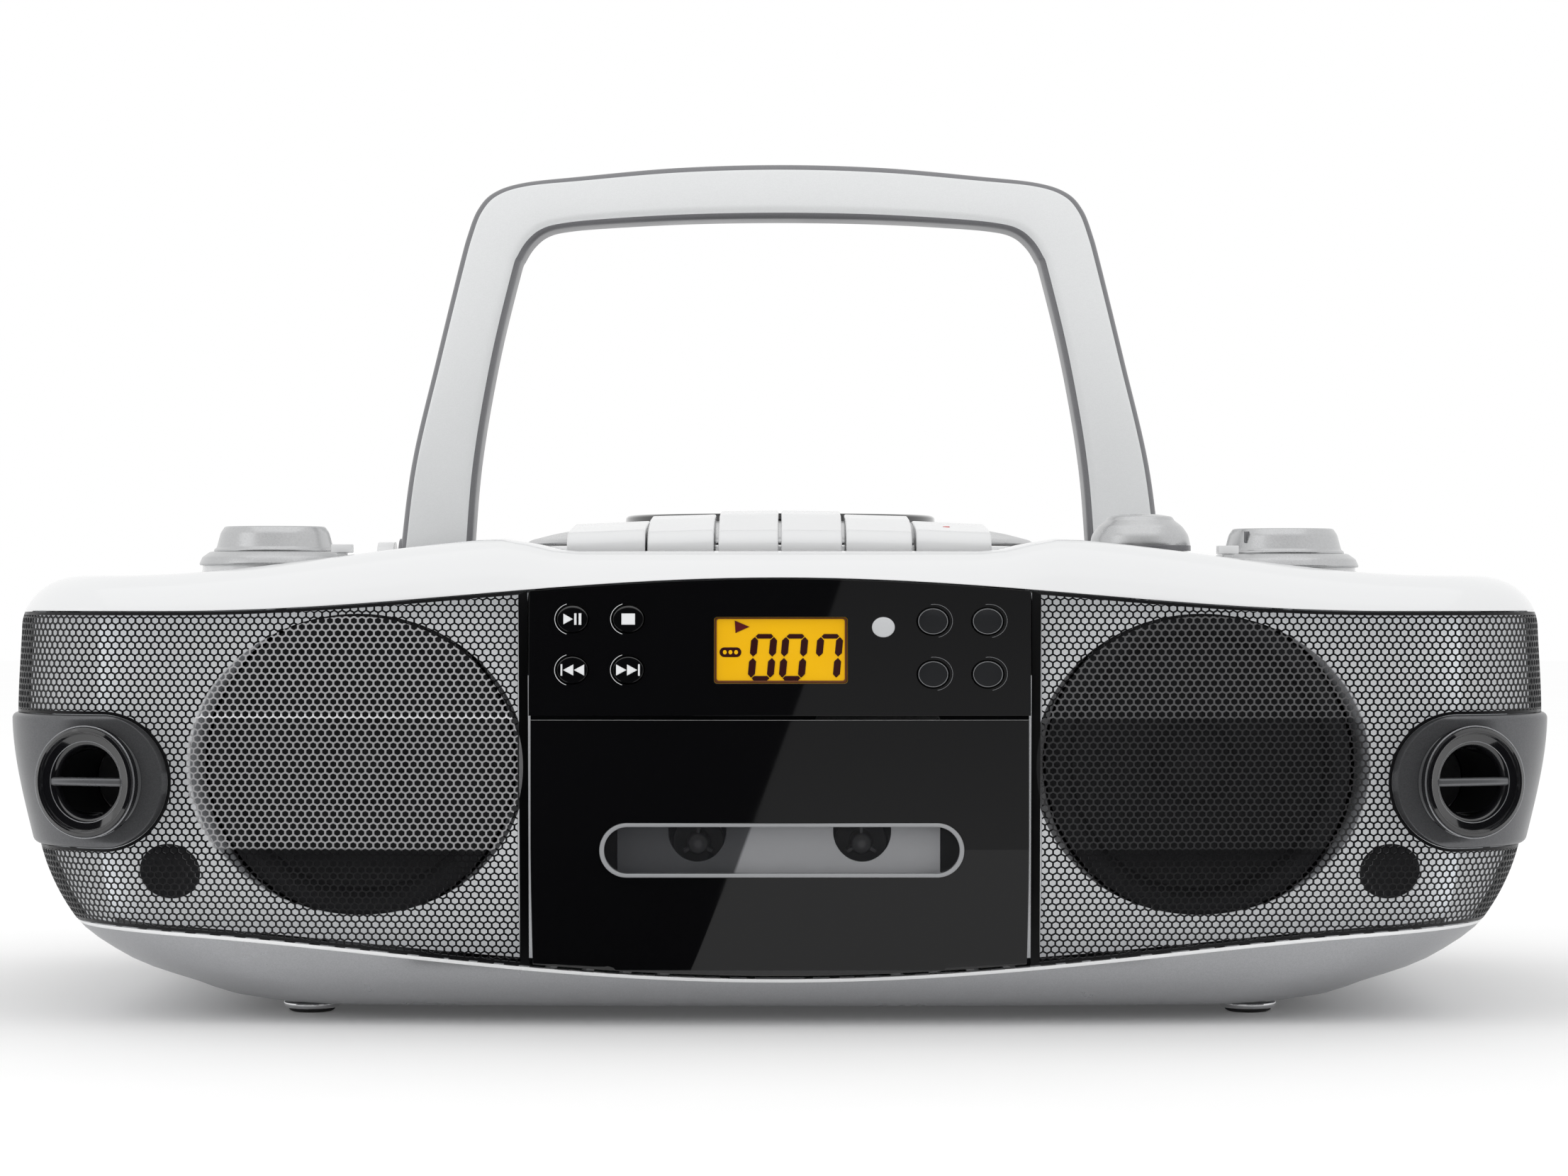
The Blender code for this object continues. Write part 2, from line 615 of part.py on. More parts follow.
# ================================================================ top controls
def make_knobs():
    tall = ((0.0, 7.1), (13.6, 7.1), (14.6, 6.3), (16.2, 0.8), (16.2, 0.0), (3.0, 0.0), (3.0, -18.0), (0.0, -18.0))
    for name, centre in (("function_knob", FUNCTION_KNOB), ("tuning_knob", TUNING_KNOB)):
        turned(name, tall, "silver_plastic", centre, segments=24)
    dome = ((0.0, 10.1), (5.0, 9.6), (9.4, 7.8), (12.4, 4.8), (13.5, 1.2), (13.5, 0.0), (3.0, 0.0), (3.0, -18.0),
            (0.0, -18.0))
    turned("volume_knob", dome, "silver_plastic", VOLUME_KNOB, segments=24)


def make_slides():
    for name, x, y in SLIDES:
        top_z = deck_height(x) + 3.2
        slide = place(name, box(x - 2.7, x + 2.7, y - 2.5, y + 2.5, deck_height(x) + 1.0, top_z), "white_plastic",
                      (x, y, deck_height(x)))
        join(slide, place(f"{name} stem", box(x - 1.2, x + 1.2, y - 2.2, y + 2.2, SLIDE_STEM_Z, top_z - 1)))


# ================================================================ handle
def handle_side():
    """The right half of the handle's outer and inner edges, from the top middle down."""
    outer = ((0.0, 236.5), (28.0, 235.6), (60.0, 232.8))
    inner = ((88.9, 120.0), (86.6, 150.0), (81.5, 180.0), (75.5, 205.0), (72.0, 213.4), (66.0, 217.6),
             (40.0, 219.8), (0.0, 220.8))
    corner = ((76.0, 231.0), (84.0, 227.6), (88.8, 220.0), (92.4, 207.0), (99.0, 180.0), (106.0, 150.0),
              (109.9, 120.0))
    return outer + corner, inner


def make_handle():
    outer, inner = handle_side()
    right = list(outer) + list(inner[:-1])
    loop = right + [inner[-1]] + [(-x, z) for x, z in reversed(right[1:])]
    y0, y1 = HANDLE_Y - HANDLE_HALF_T, HANDLE_Y + HANDLE_HALF_T
    handle = place("handle", prism(loop, y0, y1), "silver_plastic", (0, HANDLE_Y, HANDLE_Z))
    round_edges(handle, 3.0, 2, 50.0)
    for side in (-1, 1):
        xs = (side * (LEG_X[0] + 0.05), side * (LEG_X[1] - 0.15))
        join(handle, place(f"handle foot {side}", rod((xs[0], HANDLE_Y, HANDLE_Z), (xs[1], HANDLE_Y, HANDLE_Z),
                                                      HANDLE_HALF_T - 0.05, 24)))
        cut(handle, place(f"handle pin hole {side}", rod((side * 100, HANDLE_Y, HANDLE_Z),
                                                         (side * 115, HANDLE_Y, HANDLE_Z), 4.4, 16)))


# ================================================================ CD compartment
def make_cd():
    lid_base = DRUM_Z + 0.5
    profile = ((0.0, 136.2), (30.0, 135.2), (52.0, 133.0), (66.0, 130.4), (73.4, 128.4), (LID_R, lid_base),
               (72.6, lid_base), (66.0, 128.6), (52.0, 131.2), (30.0, 133.3), (0.0, 134.2))
    hinge_y, hinge_z = LID_HINGE
    centred = [(radius, z - hinge_z) for radius, z in profile]
    lid = turned("cd_lid_form", centred, None, (0, DRUM_Y, hinge_z), segments=32)
    cover = place("cd_lid", rod((-19.4, *LID_HINGE), (19.4, *LID_HINGE), 2.2, 16), "silver_plastic",
                  (0, hinge_y, hinge_z))
    join(cover, place("lid arm", box(-19.0, 19.0, 92.0, hinge_y, 127.7, 129.4)), lid)
    join(cover, place("lid pin", rod((-22.4, *LID_HINGE), (22.4, *LID_HINGE), 1.2, 12)))
    well = ((65.0, 123.6), (65.0, 122.4), (63.6, 112.0), (14.0, 112.0), (14.0, 113.6), (62.2, 113.6), (63.4, 123.6))
    tray = turned("cd_well", well, "grey_plastic", (0, DRUM_Y, 0), segments=32, closed=True)
    cut(tray, place("pickup slot", box(-8, 8, DRUM_Y - 56, DRUM_Y - 18, 105, 118)))
    hub = ((0.0, 7.0), (5.6, 7.0), (7.2, 5.4), (7.2, 2.0), (12.0, 1.6), (12.0, 0.0), (5.0, 0.0), (5.0, -14.0),
           (0.0, -14.0))
    turned("cd_spindle", hub, "black_plastic", (0, DRUM_Y, 114.4), segments=20)
    pickup = place("cd_pickup", box(-14, 14, DRUM_Y - 36, DRUM_Y - 16, 103, 111.2), "black_plastic",
                   (0, DRUM_Y - 26, 107))
    join(pickup, place("pickup lens", rod((0, DRUM_Y - 27, 108), (0, DRUM_Y - 27, 113.4), 4.0, 16)))


# ================================================================ inside, back and underside
def make_inside():
    place("main_board", box(-92, 92, -40, 68, 93, 94.6), "board_green")
    place("transformer", box(-134, -90, 16, 60, 7.0, 48), "steel")
    round_edges(bpy.data.objects["transformer"], 2.0, 1)


def make_back():
    x, z = INLET
    inlet = place("ac_inlet", box(x - 11.7, x + 11.7, 92, 113.0, z - 7.7, z + 7.7), "black_plastic")
    cut(inlet, place("inlet socket", box(x - 8.5, x + 8.5, 98, 120, z - 4.5, z + 4.5)))
    x0, x1, z0, z1 = BATTERY
    place("battery_door", box(x0 - 4.6, x1 + 4.6, 110.3, 112.6, z0 - 2.6, z1 + 2.6), "black_plastic",
          ((x0 + x1) / 2, 110.3, z0 - 2.6))
    ax, ay, az = ANTENNA
    base = place("antenna_base", rod((ax, 112.6 + GAP, az), (ax, ay + 3.0, az), 7.0, 24), "black_plastic", ANTENNA)
    join(base, place("antenna shaft", rod((ax, 104, az), (ax, 114, az), 3.0, 16)))
    cut(base, place("antenna knuckle slot", box(ax - 10, ax + 3.2, 113.9, ay + 5, az - 2.9, az + 2.9)))
    mast = place("antenna_mast", rod((ax - 1.0, ay, az), (MAST_END, ay, az), 2.5, 12), "chrome", ANTENNA)
    cut(mast, place("mast bore", rod((ax - 20, ay, az), (MAST_END - 5, ay, az), 1.7, 12)))
    tip = place("antenna_tip", rod((ax - 24, ay, az), (MAST_END - 1, ay, az), 1.3, 12), "chrome",
                (MAST_END, ay, az))
    join(tip, place("antenna cap", rod((MAST_END - 0.4, ay, az), (MAST_END - 6.0, ay, az), 2.6, 12)))


def make_feet():
    foot = ((0.0, 2.7), (7.6, 2.7), (7.6, 1.2), (6.2, 0.9), (5.6, 0.0), (0.0, 0.0))
    for name, x, y in (("front_left_foot", -1, 0), ("front_right_foot", 1, 0), ("rear_left_foot", -1, 1),
                       ("rear_right_foot", 1, 1)):
        turned(name, foot, "rubber", (x * FEET_X, FEET_Y[y], 0.0), segments=18)


def make_materials():
    make_material("white_plastic", (0.86, 0.86, 0.87), 0.12)
    make_material("silver_plastic", (0.62, 0.63, 0.65), 0.3, 0.35)
    make_material("silver_paint", (0.7, 0.71, 0.73), 0.35, 0.6)
    make_material("black_plastic", (0.02, 0.02, 0.022), 0.45)
    make_material("gloss_black", (0.008, 0.008, 0.009), 0.05)
    make_material("black_metal", (0.02, 0.02, 0.02), 0.4, 0.8)
    make_material("trim_plastic", (0.09, 0.09, 0.1), 0.3, 0.4)
    make_material("grey_plastic", (0.45, 0.46, 0.47), 0.5)
    make_material("clear_plastic", (0.9, 0.92, 0.93), 0.04, 0.0, 0.3)
    make_material("lcd_amber", (0.85, 0.5, 0.02), 0.25)
    make_material("sensor_grey", (0.6, 0.6, 0.6), 0.2)
    make_material("steel", (0.55, 0.55, 0.56), 0.35, 1.0)
    make_material("chrome", (0.8, 0.8, 0.8), 0.1, 1.0)
    make_material("cone_paper", (0.03, 0.03, 0.032), 0.8)
    make_material("board_green", (0.03, 0.2, 0.08), 0.5)
    make_material("rubber", (0.02, 0.02, 0.02), 0.8)


def main():
    clear_scene()
    add_collection(PARTS)
    add_collection(CUTTERS).hide_render = True
    make_materials()
    top, bottom, back = cabinet_regions()
    make_top_cabinet(top)
    make_bottom_cabinet(bottom)
    make_rear_cabinet(back)
    for side, name in ((-1, "left"), (1, "right")):
        make_side(side, name)
        make_speaker(side, name)
    make_baffle()
    make_control_panel()
    make_buttons()
    make_cassette_door()
    make_deck()
    make_keys()
    make_knobs()
    make_slides()
    make_handle()
    make_cd()
    make_inside()
    make_back()
    make_feet()


main()
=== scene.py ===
"""The looks of the portable CD, radio and cassette player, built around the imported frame.

Shapes are in millimetres in the frame's own axes, and are scaled to metres when a mesh is made.
"""

import math

import bmesh
import bpy
import numpy as np
from mathutils import Matrix, Vector


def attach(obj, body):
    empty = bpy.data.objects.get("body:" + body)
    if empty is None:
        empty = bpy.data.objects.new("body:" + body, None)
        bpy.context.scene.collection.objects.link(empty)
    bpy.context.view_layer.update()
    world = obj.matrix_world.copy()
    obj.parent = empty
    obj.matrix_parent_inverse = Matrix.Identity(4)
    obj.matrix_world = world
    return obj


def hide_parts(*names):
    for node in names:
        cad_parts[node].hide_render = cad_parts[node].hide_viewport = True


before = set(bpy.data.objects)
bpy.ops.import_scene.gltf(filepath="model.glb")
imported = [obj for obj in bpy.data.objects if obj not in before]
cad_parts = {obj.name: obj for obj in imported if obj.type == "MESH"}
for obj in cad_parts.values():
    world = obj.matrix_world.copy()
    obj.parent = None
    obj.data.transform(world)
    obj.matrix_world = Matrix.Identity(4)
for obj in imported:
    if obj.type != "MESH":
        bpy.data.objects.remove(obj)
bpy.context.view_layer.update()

MM = 0.001

# ---------------------------------------------------------------- cabinet form
# height, half width, front, back and corner radius of the outline, from the bottom up
LEVELS = np.array((
    (3.0, 132.0, 80.0, 84.0, 40.0),
    (4.2, 147.0, 92.0, 94.0, 42.0),
    (9.0, 160.0, 103.0, 102.0, 42.0),
    (15.4, 176.0, 110.0, 108.0, 42.0),
    (26.8, 190.0, 114.5, 111.0, 38.0),
    (47.3, 198.0, 120.0, 113.0, 35.0),
    (81.5, 204.0, 120.0, 113.0, 35.0),
    (104.0, 203.3, 118.5, 112.0, 35.0),
))
SHOULDER_Z = 104.0
CROWN_INSET = 16.0
FRONT_BOW = 10.0
BOW_AT = 170.0
SLOPE = math.atan(2.0 * FRONT_BOW / BOW_AT)
WALL = 2.5
DECK_MIDDLE_Z = 128.3
DECK_DROP = 10.3
KEY_DIP = 3.8
REAR_DECK_Z = 110.3
REAR_STEP_Y = -8.0
REAR_PARTING_Z = 104.0
GRILLE_END_Y = -66.0
DRUM_Y = 21.0
DRUM_R = 79.0
DRUM_Z = 126.5
FOLDS = (47.3, 81.5)


def monotone_table(values, heights):
    """Samples a smooth curve through the levels that never overshoots them, so folds stay crisp enough."""
    steps = np.diff(LEVELS[:, 0])
    rises = np.diff(values) / steps
    slopes = np.zeros(len(values))
    slopes[0], slopes[-1] = rises[0], rises[-1]
    for i in range(1, len(values) - 1):
        if rises[i - 1] * rises[i] > 0:
            w0 = 2 * steps[i] + steps[i - 1]
            w1 = steps[i] + 2 * steps[i - 1]
            slopes[i] = (w0 + w1) / (w0 / rises[i - 1] + w1 / rises[i])
    cell = np.clip(np.searchsorted(LEVELS[:, 0], heights) - 1, 0, len(steps) - 1)
    t = np.clip((heights - LEVELS[cell, 0]) / steps[cell], 0.0, 1.0)
    h = steps[cell]
    return ((1 + 2 * t) * (1 - t) ** 2 * values[cell] + t * (1 - t) ** 2 * h * slopes[cell]
            + t * t * (3 - 2 * t) * values[cell + 1] + t * t * (t - 1) * h * slopes[cell + 1])


def smooth(t):
    t = np.clip(t, 0.0, 1.0)
    return t * t * (3.0 - 2.0 * t)


def deck_height(x):
    shoulder = DECK_DROP * smooth((np.abs(x) - 55.0) / 120.0)
    dip = KEY_DIP * (1.0 - smooth((np.abs(x) - 54.0) / 20.0))
    return DECK_MIDDLE_Z - shoulder - dip


def upper_edge(x):
    """Height of the line where the top cabinet ends."""
    return 113.05 + 4.35 * np.cos(math.pi * np.minimum(np.abs(x), 160.0) / 160.0)


def lower_edge(x):
    """Height of the line where the bottom cabinet ends."""
    return 19.6 - 6.7 * np.cos(math.pi * np.minimum(np.abs(x), 200.0) / 200.0)


def section(z, x, inset):
    """Half width, front, back and corner radius at a height; above the shoulder they follow the crown."""
    low = np.minimum(z, SHOULDER_Z)
    rise = np.clip((z - SHOULDER_Z) / (deck_height(x) - inset - SHOULDER_Z), 0.0, 1.0)
    drawn = inset + CROWN_INSET * (1.0 - np.sqrt(1.0 - rise * rise))
    width, front, back, corner = (monotone_table(LEVELS[:, k], low) for k in (1, 2, 3, 4))
    return width - drawn, front - drawn, back - drawn, np.maximum(corner - drawn, 12.0)


def surface(u, z, inset=0.0):
    """The cabinet's outer form at a distance u round from the front middle and a height z."""
    u, z = np.broadcast_arrays(np.asarray(u, float), np.asarray(z, float))
    a = np.abs(u)
    width, front, _, corner = section(z, np.minimum(a, 203.0), inset)
    edge = width - corner * (1.0 - math.sin(SLOPE))
    arc = corner * (math.pi / 2 - SLOPE)
    angle = SLOPE + np.clip((a - edge) / corner, 0.0, math.pi / 2 - SLOPE)
    centre_y = -front + FRONT_BOW * (edge / BOW_AT) ** 2 + corner * math.cos(SLOPE)
    x = np.where(a < edge, a, width - corner + corner * np.sin(angle))
    y = np.where(a < edge, -front + FRONT_BOW * (a / BOW_AT) ** 2, centre_y - corner * np.cos(angle))
    y = y + np.maximum(a - edge - arc, 0.0)
    return np.stack((np.where(u < 0, -x, x), y, z), axis=-1)


def side_end(z, end_y=GRILLE_END_Y):
    """How far round the front pieces reach, at a height."""
    width, front, _, corner = section(z, np.full_like(z, 203.0), 0.0)
    edge = width - corner * (1.0 - math.sin(SLOPE))
    centre_y = -front + FRONT_BOW * (edge / BOW_AT) ** 2 + corner * math.cos(SLOPE)
    return edge + corner * (math.pi / 2 - SLOPE) + end_y - centre_y


# ---------------------------------------------------------------- node helpers
def add(tree, kind, settings=(), **sockets):
    """A shader node, with each named socket set to a value or linked to another node's output."""
    node = tree.nodes.new("ShaderNode" + kind)
    for key, value in dict(settings).items():
        setattr(node, key, value)
    for key, value in sockets.items():
        connect(tree, value, node.inputs[key.replace("_", " ")])
    return node


def connect(tree, value, socket):
    if isinstance(value, bpy.types.NodeSocket):
        tree.links.new(value, socket)
    else:
        socket.default_value = value


def position(tree):
    return add(tree, "TexCoord").outputs["Object"]


def shader_material(name, colour, roughness, metallic=0.0, **sockets):
    material = bpy.data.materials.new(name)
    material.use_nodes = True
    shader = material.node_tree.nodes["Principled BSDF"]
    values = {"Base Color": (*colour, 1.0), "Roughness": roughness, "Metallic": metallic}
    for key, value in {**values, **{key.replace("_", " "): value for key, value in sockets.items()}}.items():
        shader.inputs[key].default_value = value
    return material, material.node_tree, shader


def noise(tree, scale, detail=3.0, rough=0.5):
    return add(tree, "TexNoise", Scale=scale, Detail=detail, Roughness=rough, Vector=position(tree)).outputs["Fac"]


def between(tree, value, low, high, first=0.3, last=0.7):
    """A value between two limits, as another value goes from its first to its last."""
    return add(tree, "MapRange", From_Min=first, From_Max=last, To_Min=low, To_Max=high,
               Value=value).outputs["Result"]


def vary(tree, shader, fac, low, high):
    tree.links.new(between(tree, fac, low, high), shader.inputs["Roughness"])


def tint(tree, shader, fac, first, second):
    mix = add(tree, "Mix", {"data_type": "RGBA"}, A=(*first, 1.0), B=(*second, 1.0), Factor=fac)
    tree.links.new(mix.outputs["Result"], shader.inputs["Base Color"])


def relief(tree, shader, height, strength, distance, edge=0.0):
    bump = add(tree, "Bump", Strength=strength, Distance=distance, Height=height)
    if edge:
        bevel = add(tree, "Bevel", {"samples": 4}, Radius=edge)
        tree.links.new(bevel.outputs["Normal"], bump.inputs["Normal"])
    tree.links.new(bump.outputs["Normal"], shader.inputs["Normal"])


def darker(colour, share):
    return tuple(channel * (1.0 - share) for channel in colour)


# ---------------------------------------------------------------- materials
def moulded(name, colour, roughness, spread, grain_scale, grain, edge=0.0004, coat=0.0, metallic=0.0, drift=0.03,
            **sockets):
    """Moulded or painted plastic: slight tone drift, uneven gloss, and a fine surface grain."""
    if coat:
        sockets.update(Coat_Weight=coat, Coat_Roughness=0.04)
    material, tree, shader = shader_material(name, colour, roughness, metallic, **sockets)
    tint(tree, shader, noise(tree, 14.0, 4.0, 0.55), darker(colour, drift), colour)
    vary(tree, shader, noise(tree, 60.0, 5.0, 0.6), roughness - spread, roughness + spread)
    relief(tree, shader, noise(tree, grain_scale, 2.0, 0.5), grain, 0.0001, edge)
    return material


def metal_flake(name, colour, roughness, metallic, flake=0.12, edge=0.0004, **sockets):
    """Silver paint: fine flakes that catch the light, over a slow change of gloss."""
    material, tree, shader = shader_material(name, colour, roughness, metallic, **sockets)
    cells = add(tree, "TexVoronoi", Scale=4200.0, Vector=position(tree))
    split = add(tree, "SeparateColor", Color=cells.outputs["Color"])
    tint(tree, shader, split.outputs["Red"], darker(colour, flake), colour)
    vary(tree, shader, noise(tree, 40.0, 5.0, 0.6), roughness - 0.04, roughness + 0.05)
    relief(tree, shader, split.outputs["Green"], 0.05, 0.00005, edge)
    return material


def glow(name, strength):
    material = bpy.data.materials.new(name)
    material.use_nodes = True
    tree = material.node_tree
    tree.nodes.clear()
    emission = add(tree, "Emission", Color=(1.0, 1.0, 1.0, 1.0), Strength=strength)
    add(tree, "OutputMaterial", Surface=emission.outputs["Emission"])
    return material


def clear_plastic(name):
    material, tree, shader = shader_material(name, (0.05, 0.05, 0.055), 0.02, Alpha=0.10)
    vary(tree, shader, noise(tree, 90.0, 5.0, 0.6), 0.015, 0.05)
    relief(tree, shader, noise(tree, 25.0, 2.0), 0.02, 0.0002)
    return material


def display_glass(name):
    """Amber back light that wanders a little in tone."""
    material, tree, shader = shader_material(name, (0.83, 0.49, 0.012), 0.22, Emission_Strength=0.09,
                                             Emission_Color=(0.95, 0.55, 0.01, 1.0), Specular_IOR_Level=0.1)
    tint(tree, shader, noise(tree, 45.0, 3.0), (0.70, 0.36, 0.003), (0.82, 0.46, 0.006))
    vary(tree, shader, noise(tree, 120.0), 0.18, 0.28)
    relief(tree, shader, noise(tree, 900.0), 0.03, 0.0001)
    return material


def grille_metal(name):
    """Black painted sheet. Over each speaker and above the lower fold, the webs carry painted light: a pale painted
    highlight on the left grille, with a painted highlight line along the upper fold, and near-black painted shade on
    the right. Both are a little lighter above the upper fold. Below the lower fold the webs stay black as painted
    shade.
    """
    material, tree, shader = shader_material(name, (0.012, 0.012, 0.013), 0.35, 0.2, Specular_IOR_Level=0.25)
    split = add(tree, "SeparateXYZ", Vector=position(tree)).outputs
    x, z = split["X"], split["Z"]

    def calculate(operation, first, second=0.0, clamp=False):
        node = add(tree, "Math", {"operation": operation, "use_clamp": clamp})
        for socket, value in zip(node.inputs, (first, second)):
            connect(tree, value, socket)
        return node.outputs["Value"]

    def over(height, steepness):
        return calculate("MULTIPLY", calculate("SUBTRACT", z, height), steepness, True)

    across = calculate("DIVIDE", calculate("SUBTRACT", calculate("ABSOLUTE", x), 0.1102), 0.0437)
    up = calculate("DIVIDE", calculate("SUBTRACT", z, 0.0685), 0.0389)
    radius = calculate("ADD", calculate("MULTIPLY", across, across), calculate("MULTIPLY", up, up))
    # The speaker's oval above the lower fold, where the webs get painted light; below that fold they stay black as
    # painted shade.
    painted_light_zone = calculate("MULTIPLY", calculate("LESS_THAN", radius, 1.0), over(0.0468, 1200.0))
    fold = calculate("ABSOLUTE", calculate("SUBTRACT", z, 0.0815))
    # A painted highlight line along the upper fold.
    crease = calculate("MULTIPLY", calculate("LESS_THAN", fold, 0.0006), 0.35)
    upper_facet_light = over(0.0805, 1000.0)
    # Painted light from the left: the left grille's webs get a pale painted highlight, and the right grille's stay
    # near black as painted shade.
    left = calculate("LESS_THAN", x, 0.0)
    left_painted_highlight = calculate("ADD", calculate("MULTIPLY", upper_facet_light, 0.05), calculate("ADD", crease, 0.36))
    right_painted_shade = calculate("ADD", calculate("MULTIPLY", upper_facet_light, 0.08), 0.030)
    tone = calculate("ADD", calculate("MULTIPLY", left_painted_highlight, left),
                     calculate("MULTIPLY", right_painted_shade, calculate("SUBTRACT", 1.0, left)))
    tint(tree, shader, calculate("MULTIPLY", painted_light_zone, tone), (0.007, 0.007, 0.008), (1.0, 1.0, 1.02))
    vary(tree, shader, noise(tree, 300.0), 0.28, 0.42)
    return material


def rubber(name):
    material, tree, shader = shader_material(name, (0.018, 0.018, 0.019), 0.78)
    tint(tree, shader, noise(tree, 200.0), (0.012, 0.012, 0.013), (0.028, 0.028, 0.03))
    relief(tree, shader, noise(tree, 1800.0), 0.25, 0.0001, 0.0003)
    return material


def paper_cone(name):
    material, tree, shader = shader_material(name, (0.02, 0.02, 0.022), 0.8)
    fibres = noise(tree, 700.0, 6.0, 0.7)
    tint(tree, shader, fibres, (0.008, 0.008, 0.009), (0.035, 0.035, 0.038))
    relief(tree, shader, fibres, 0.4, 0.0002)
    return material


def circuit_board(name):
    material, tree, shader = shader_material(name, (0.02, 0.16, 0.06), 0.4)
    bricks = add(tree, "TexBrick", Scale=90.0, Color1=(0.015, 0.13, 0.05, 1.0), Color2=(0.02, 0.17, 0.06, 1.0),
                 Mortar=(0.05, 0.30, 0.12, 1.0), Vector=position(tree))
    tree.links.new(bricks.outputs["Color"], shader.inputs["Base Color"])
    vary(tree, shader, noise(tree, 150.0), 0.3, 0.5)
    return material


def holder_plate(name):
    """Grey plate with a painted reflection: lighter to the right of a slanting line, standing in for a grey card seen
    in the window's gloss.
    """
    material, tree, shader = shader_material(name, (0.3, 0.3, 0.32), 0.4)
    split = add(tree, "SeparateXYZ", Vector=position(tree)).outputs
    slant = add(tree, "Math", {"operation": "MULTIPLY_ADD"})
    for socket, value in zip(slant.inputs, (split["Z"], -0.367, split["X"])):
        connect(tree, value, socket)
    # Painted reflection: right of the slanting line the plate is lighter, where the window would reflect the grey
    # card.
    tint(tree, shader, between(tree, slant.outputs[0], 0.0, 1.0, -0.0272, -0.0264), (0.07, 0.072, 0.078),
         (0.42, 0.425, 0.44))
    vary(tree, shader, noise(tree, 80.0), 0.35, 0.5)
    relief(tree, shader, noise(tree, 1500.0), 0.1, 0.0001)
    return material


WHITE = moulded("gloss_white", (0.77, 0.775, 0.78), 0.16, 0.04, 900.0, 0.02, coat=0.4, drift=0.015)
SILVER = metal_flake("satin_silver", (0.45, 0.455, 0.47), 0.30, 0.65)
# Dark grey: the own colour of the tuning pointer and volume band, and painted shade on the handle's rounded sides.
DARK_SILVER_AND_SIDE_SHADE = metal_flake("dark_grey_and_handle_painted_shade", (0.20, 0.20, 0.21), 0.36, 0.3, 0.1)
# Silver baffle with a painted glow: its emission stands in for studio light coming through the grille.
SILVER_BAFFLE_PAINTED_GLOW = metal_flake("baffle_painted_glow", (0.84, 0.85, 0.86), 0.65, 0.0, 0.04, Emission_Strength=0.25,
                     Emission_Color=(0.95, 0.97, 1.0, 1.0))
TRIM = metal_flake("dark_trim", (0.13, 0.132, 0.138), 0.30, 0.6, 0.2)
BLACK = moulded("matt_black", (0.018, 0.018, 0.02), 0.5, 0.08, 1500.0, 0.25)
GLOSS = moulded("gloss_black_plastic", (0.0035, 0.0035, 0.004), 0.05, 0.02, 120.0, 0.008, 0.0003, 0.5, drift=0.2)
GRILLE = grille_metal("perforated_black")
GREY = moulded("grey_moulding", (0.42, 0.43, 0.44), 0.42, 0.08, 1200.0, 0.1, drift=0.08)
STEEL = metal_flake("plated_steel", (0.50, 0.50, 0.51), 0.30, 1.0, 0.2)
CHROME = moulded("bright_chrome", (0.85, 0.85, 0.86), 0.08, 0.03, 300.0, 0.01, metallic=1.0)
AMBER = display_glass("amber_display")
INK = moulded("display_segments", (0.040, 0.004, 0.004), 0.3, 0.05, 800.0, 0.02)
SYMBOL = moulded("printed_white", (0.80, 0.81, 0.82), 0.4, 0.05, 900.0, 0.05)
RING_PRINT = moulded("printed_grey", (0.22, 0.225, 0.235), 0.4, 0.05, 900.0, 0.05)
RED = moulded("printed_red", (0.62, 0.02, 0.02), 0.35, 0.05, 900.0, 0.05)
SENSOR_GREY = moulded("sensor_grey_lens", (0.55, 0.56, 0.57), 0.15, 0.04, 900.0, 0.03, coat=0.3)
CLEAR = clear_plastic("clear_window")
RUBBER = rubber("foot_rubber")
CONE = paper_cone("speaker_paper")
BOARD = circuit_board("circuit_green")
PLATE = holder_plate("holder_plate_grey")
# Near-white silver used as a painted highlight along the bottom shell's top edge and the door's top edge.
EDGE_HIGHLIGHT_SILVER = metal_flake("edge_painted_highlight", (0.92, 0.925, 0.93), 0.3, 0.1, 0.03)
PORT_GLOSS = moulded("port_gloss", (0.006, 0.006, 0.007), 0.08, 0.02, 200.0, 0.01, coat=1.0)
PORT_BAR = metal_flake("port_bar_grey", (0.16, 0.163, 0.17), 0.25, 0.5, 0.1)
TRIM_EDGE = metal_flake("trim_bright_rim", (0.38, 0.385, 0.40), 0.22, 0.7, 0.1)
BEZEL = moulded("display_bezel_brown", (0.16, 0.045, 0.008), 0.35, 0.05, 600.0, 0.05)
DARK_RED = moulded("display_red", (0.11, 0.004, 0.008), 0.3, 0.05, 600.0, 0.05)
BUTTON_GREY = moulded("button_dark_grey", (0.011, 0.012, 0.014), 0.30, 0.05, 700.0, 0.05, coat=0.2)
WINDOW_RIM = moulded("window_rim_clear", (0.32, 0.325, 0.335), 0.10, 0.03, 500.0, 0.02, coat=0.5)
HUB_GREY = moulded("hub_grey", (0.10, 0.10, 0.105), 0.3, 0.05, 700.0, 0.05, coat=0.3)
WHITE_KEY = moulded("key_white", (0.72, 0.725, 0.73), 0.22, 0.05, 900.0, 0.02, coat=0.25, drift=0.02)
KNOB = metal_flake("knob_silver", (0.52, 0.525, 0.53), 0.26, 0.8, 0.08)
HANDLE_FACE = metal_flake("handle_light_silver", (0.78, 0.79, 0.795), 0.34, 0.15, 0.04)
LID_SILVER = metal_flake("lid_silver", (0.50, 0.505, 0.51), 0.28, 0.6, 0.08)
SMOKED = moulded("smoked_window", (0.012, 0.012, 0.014), 0.05, 0.02, 200.0, 0.01, coat=0.6)
LENS = moulded("laser_lens_blue", (0.05, 0.09, 0.25), 0.05, 0.02, 300.0, 0.01, coat=1.0)


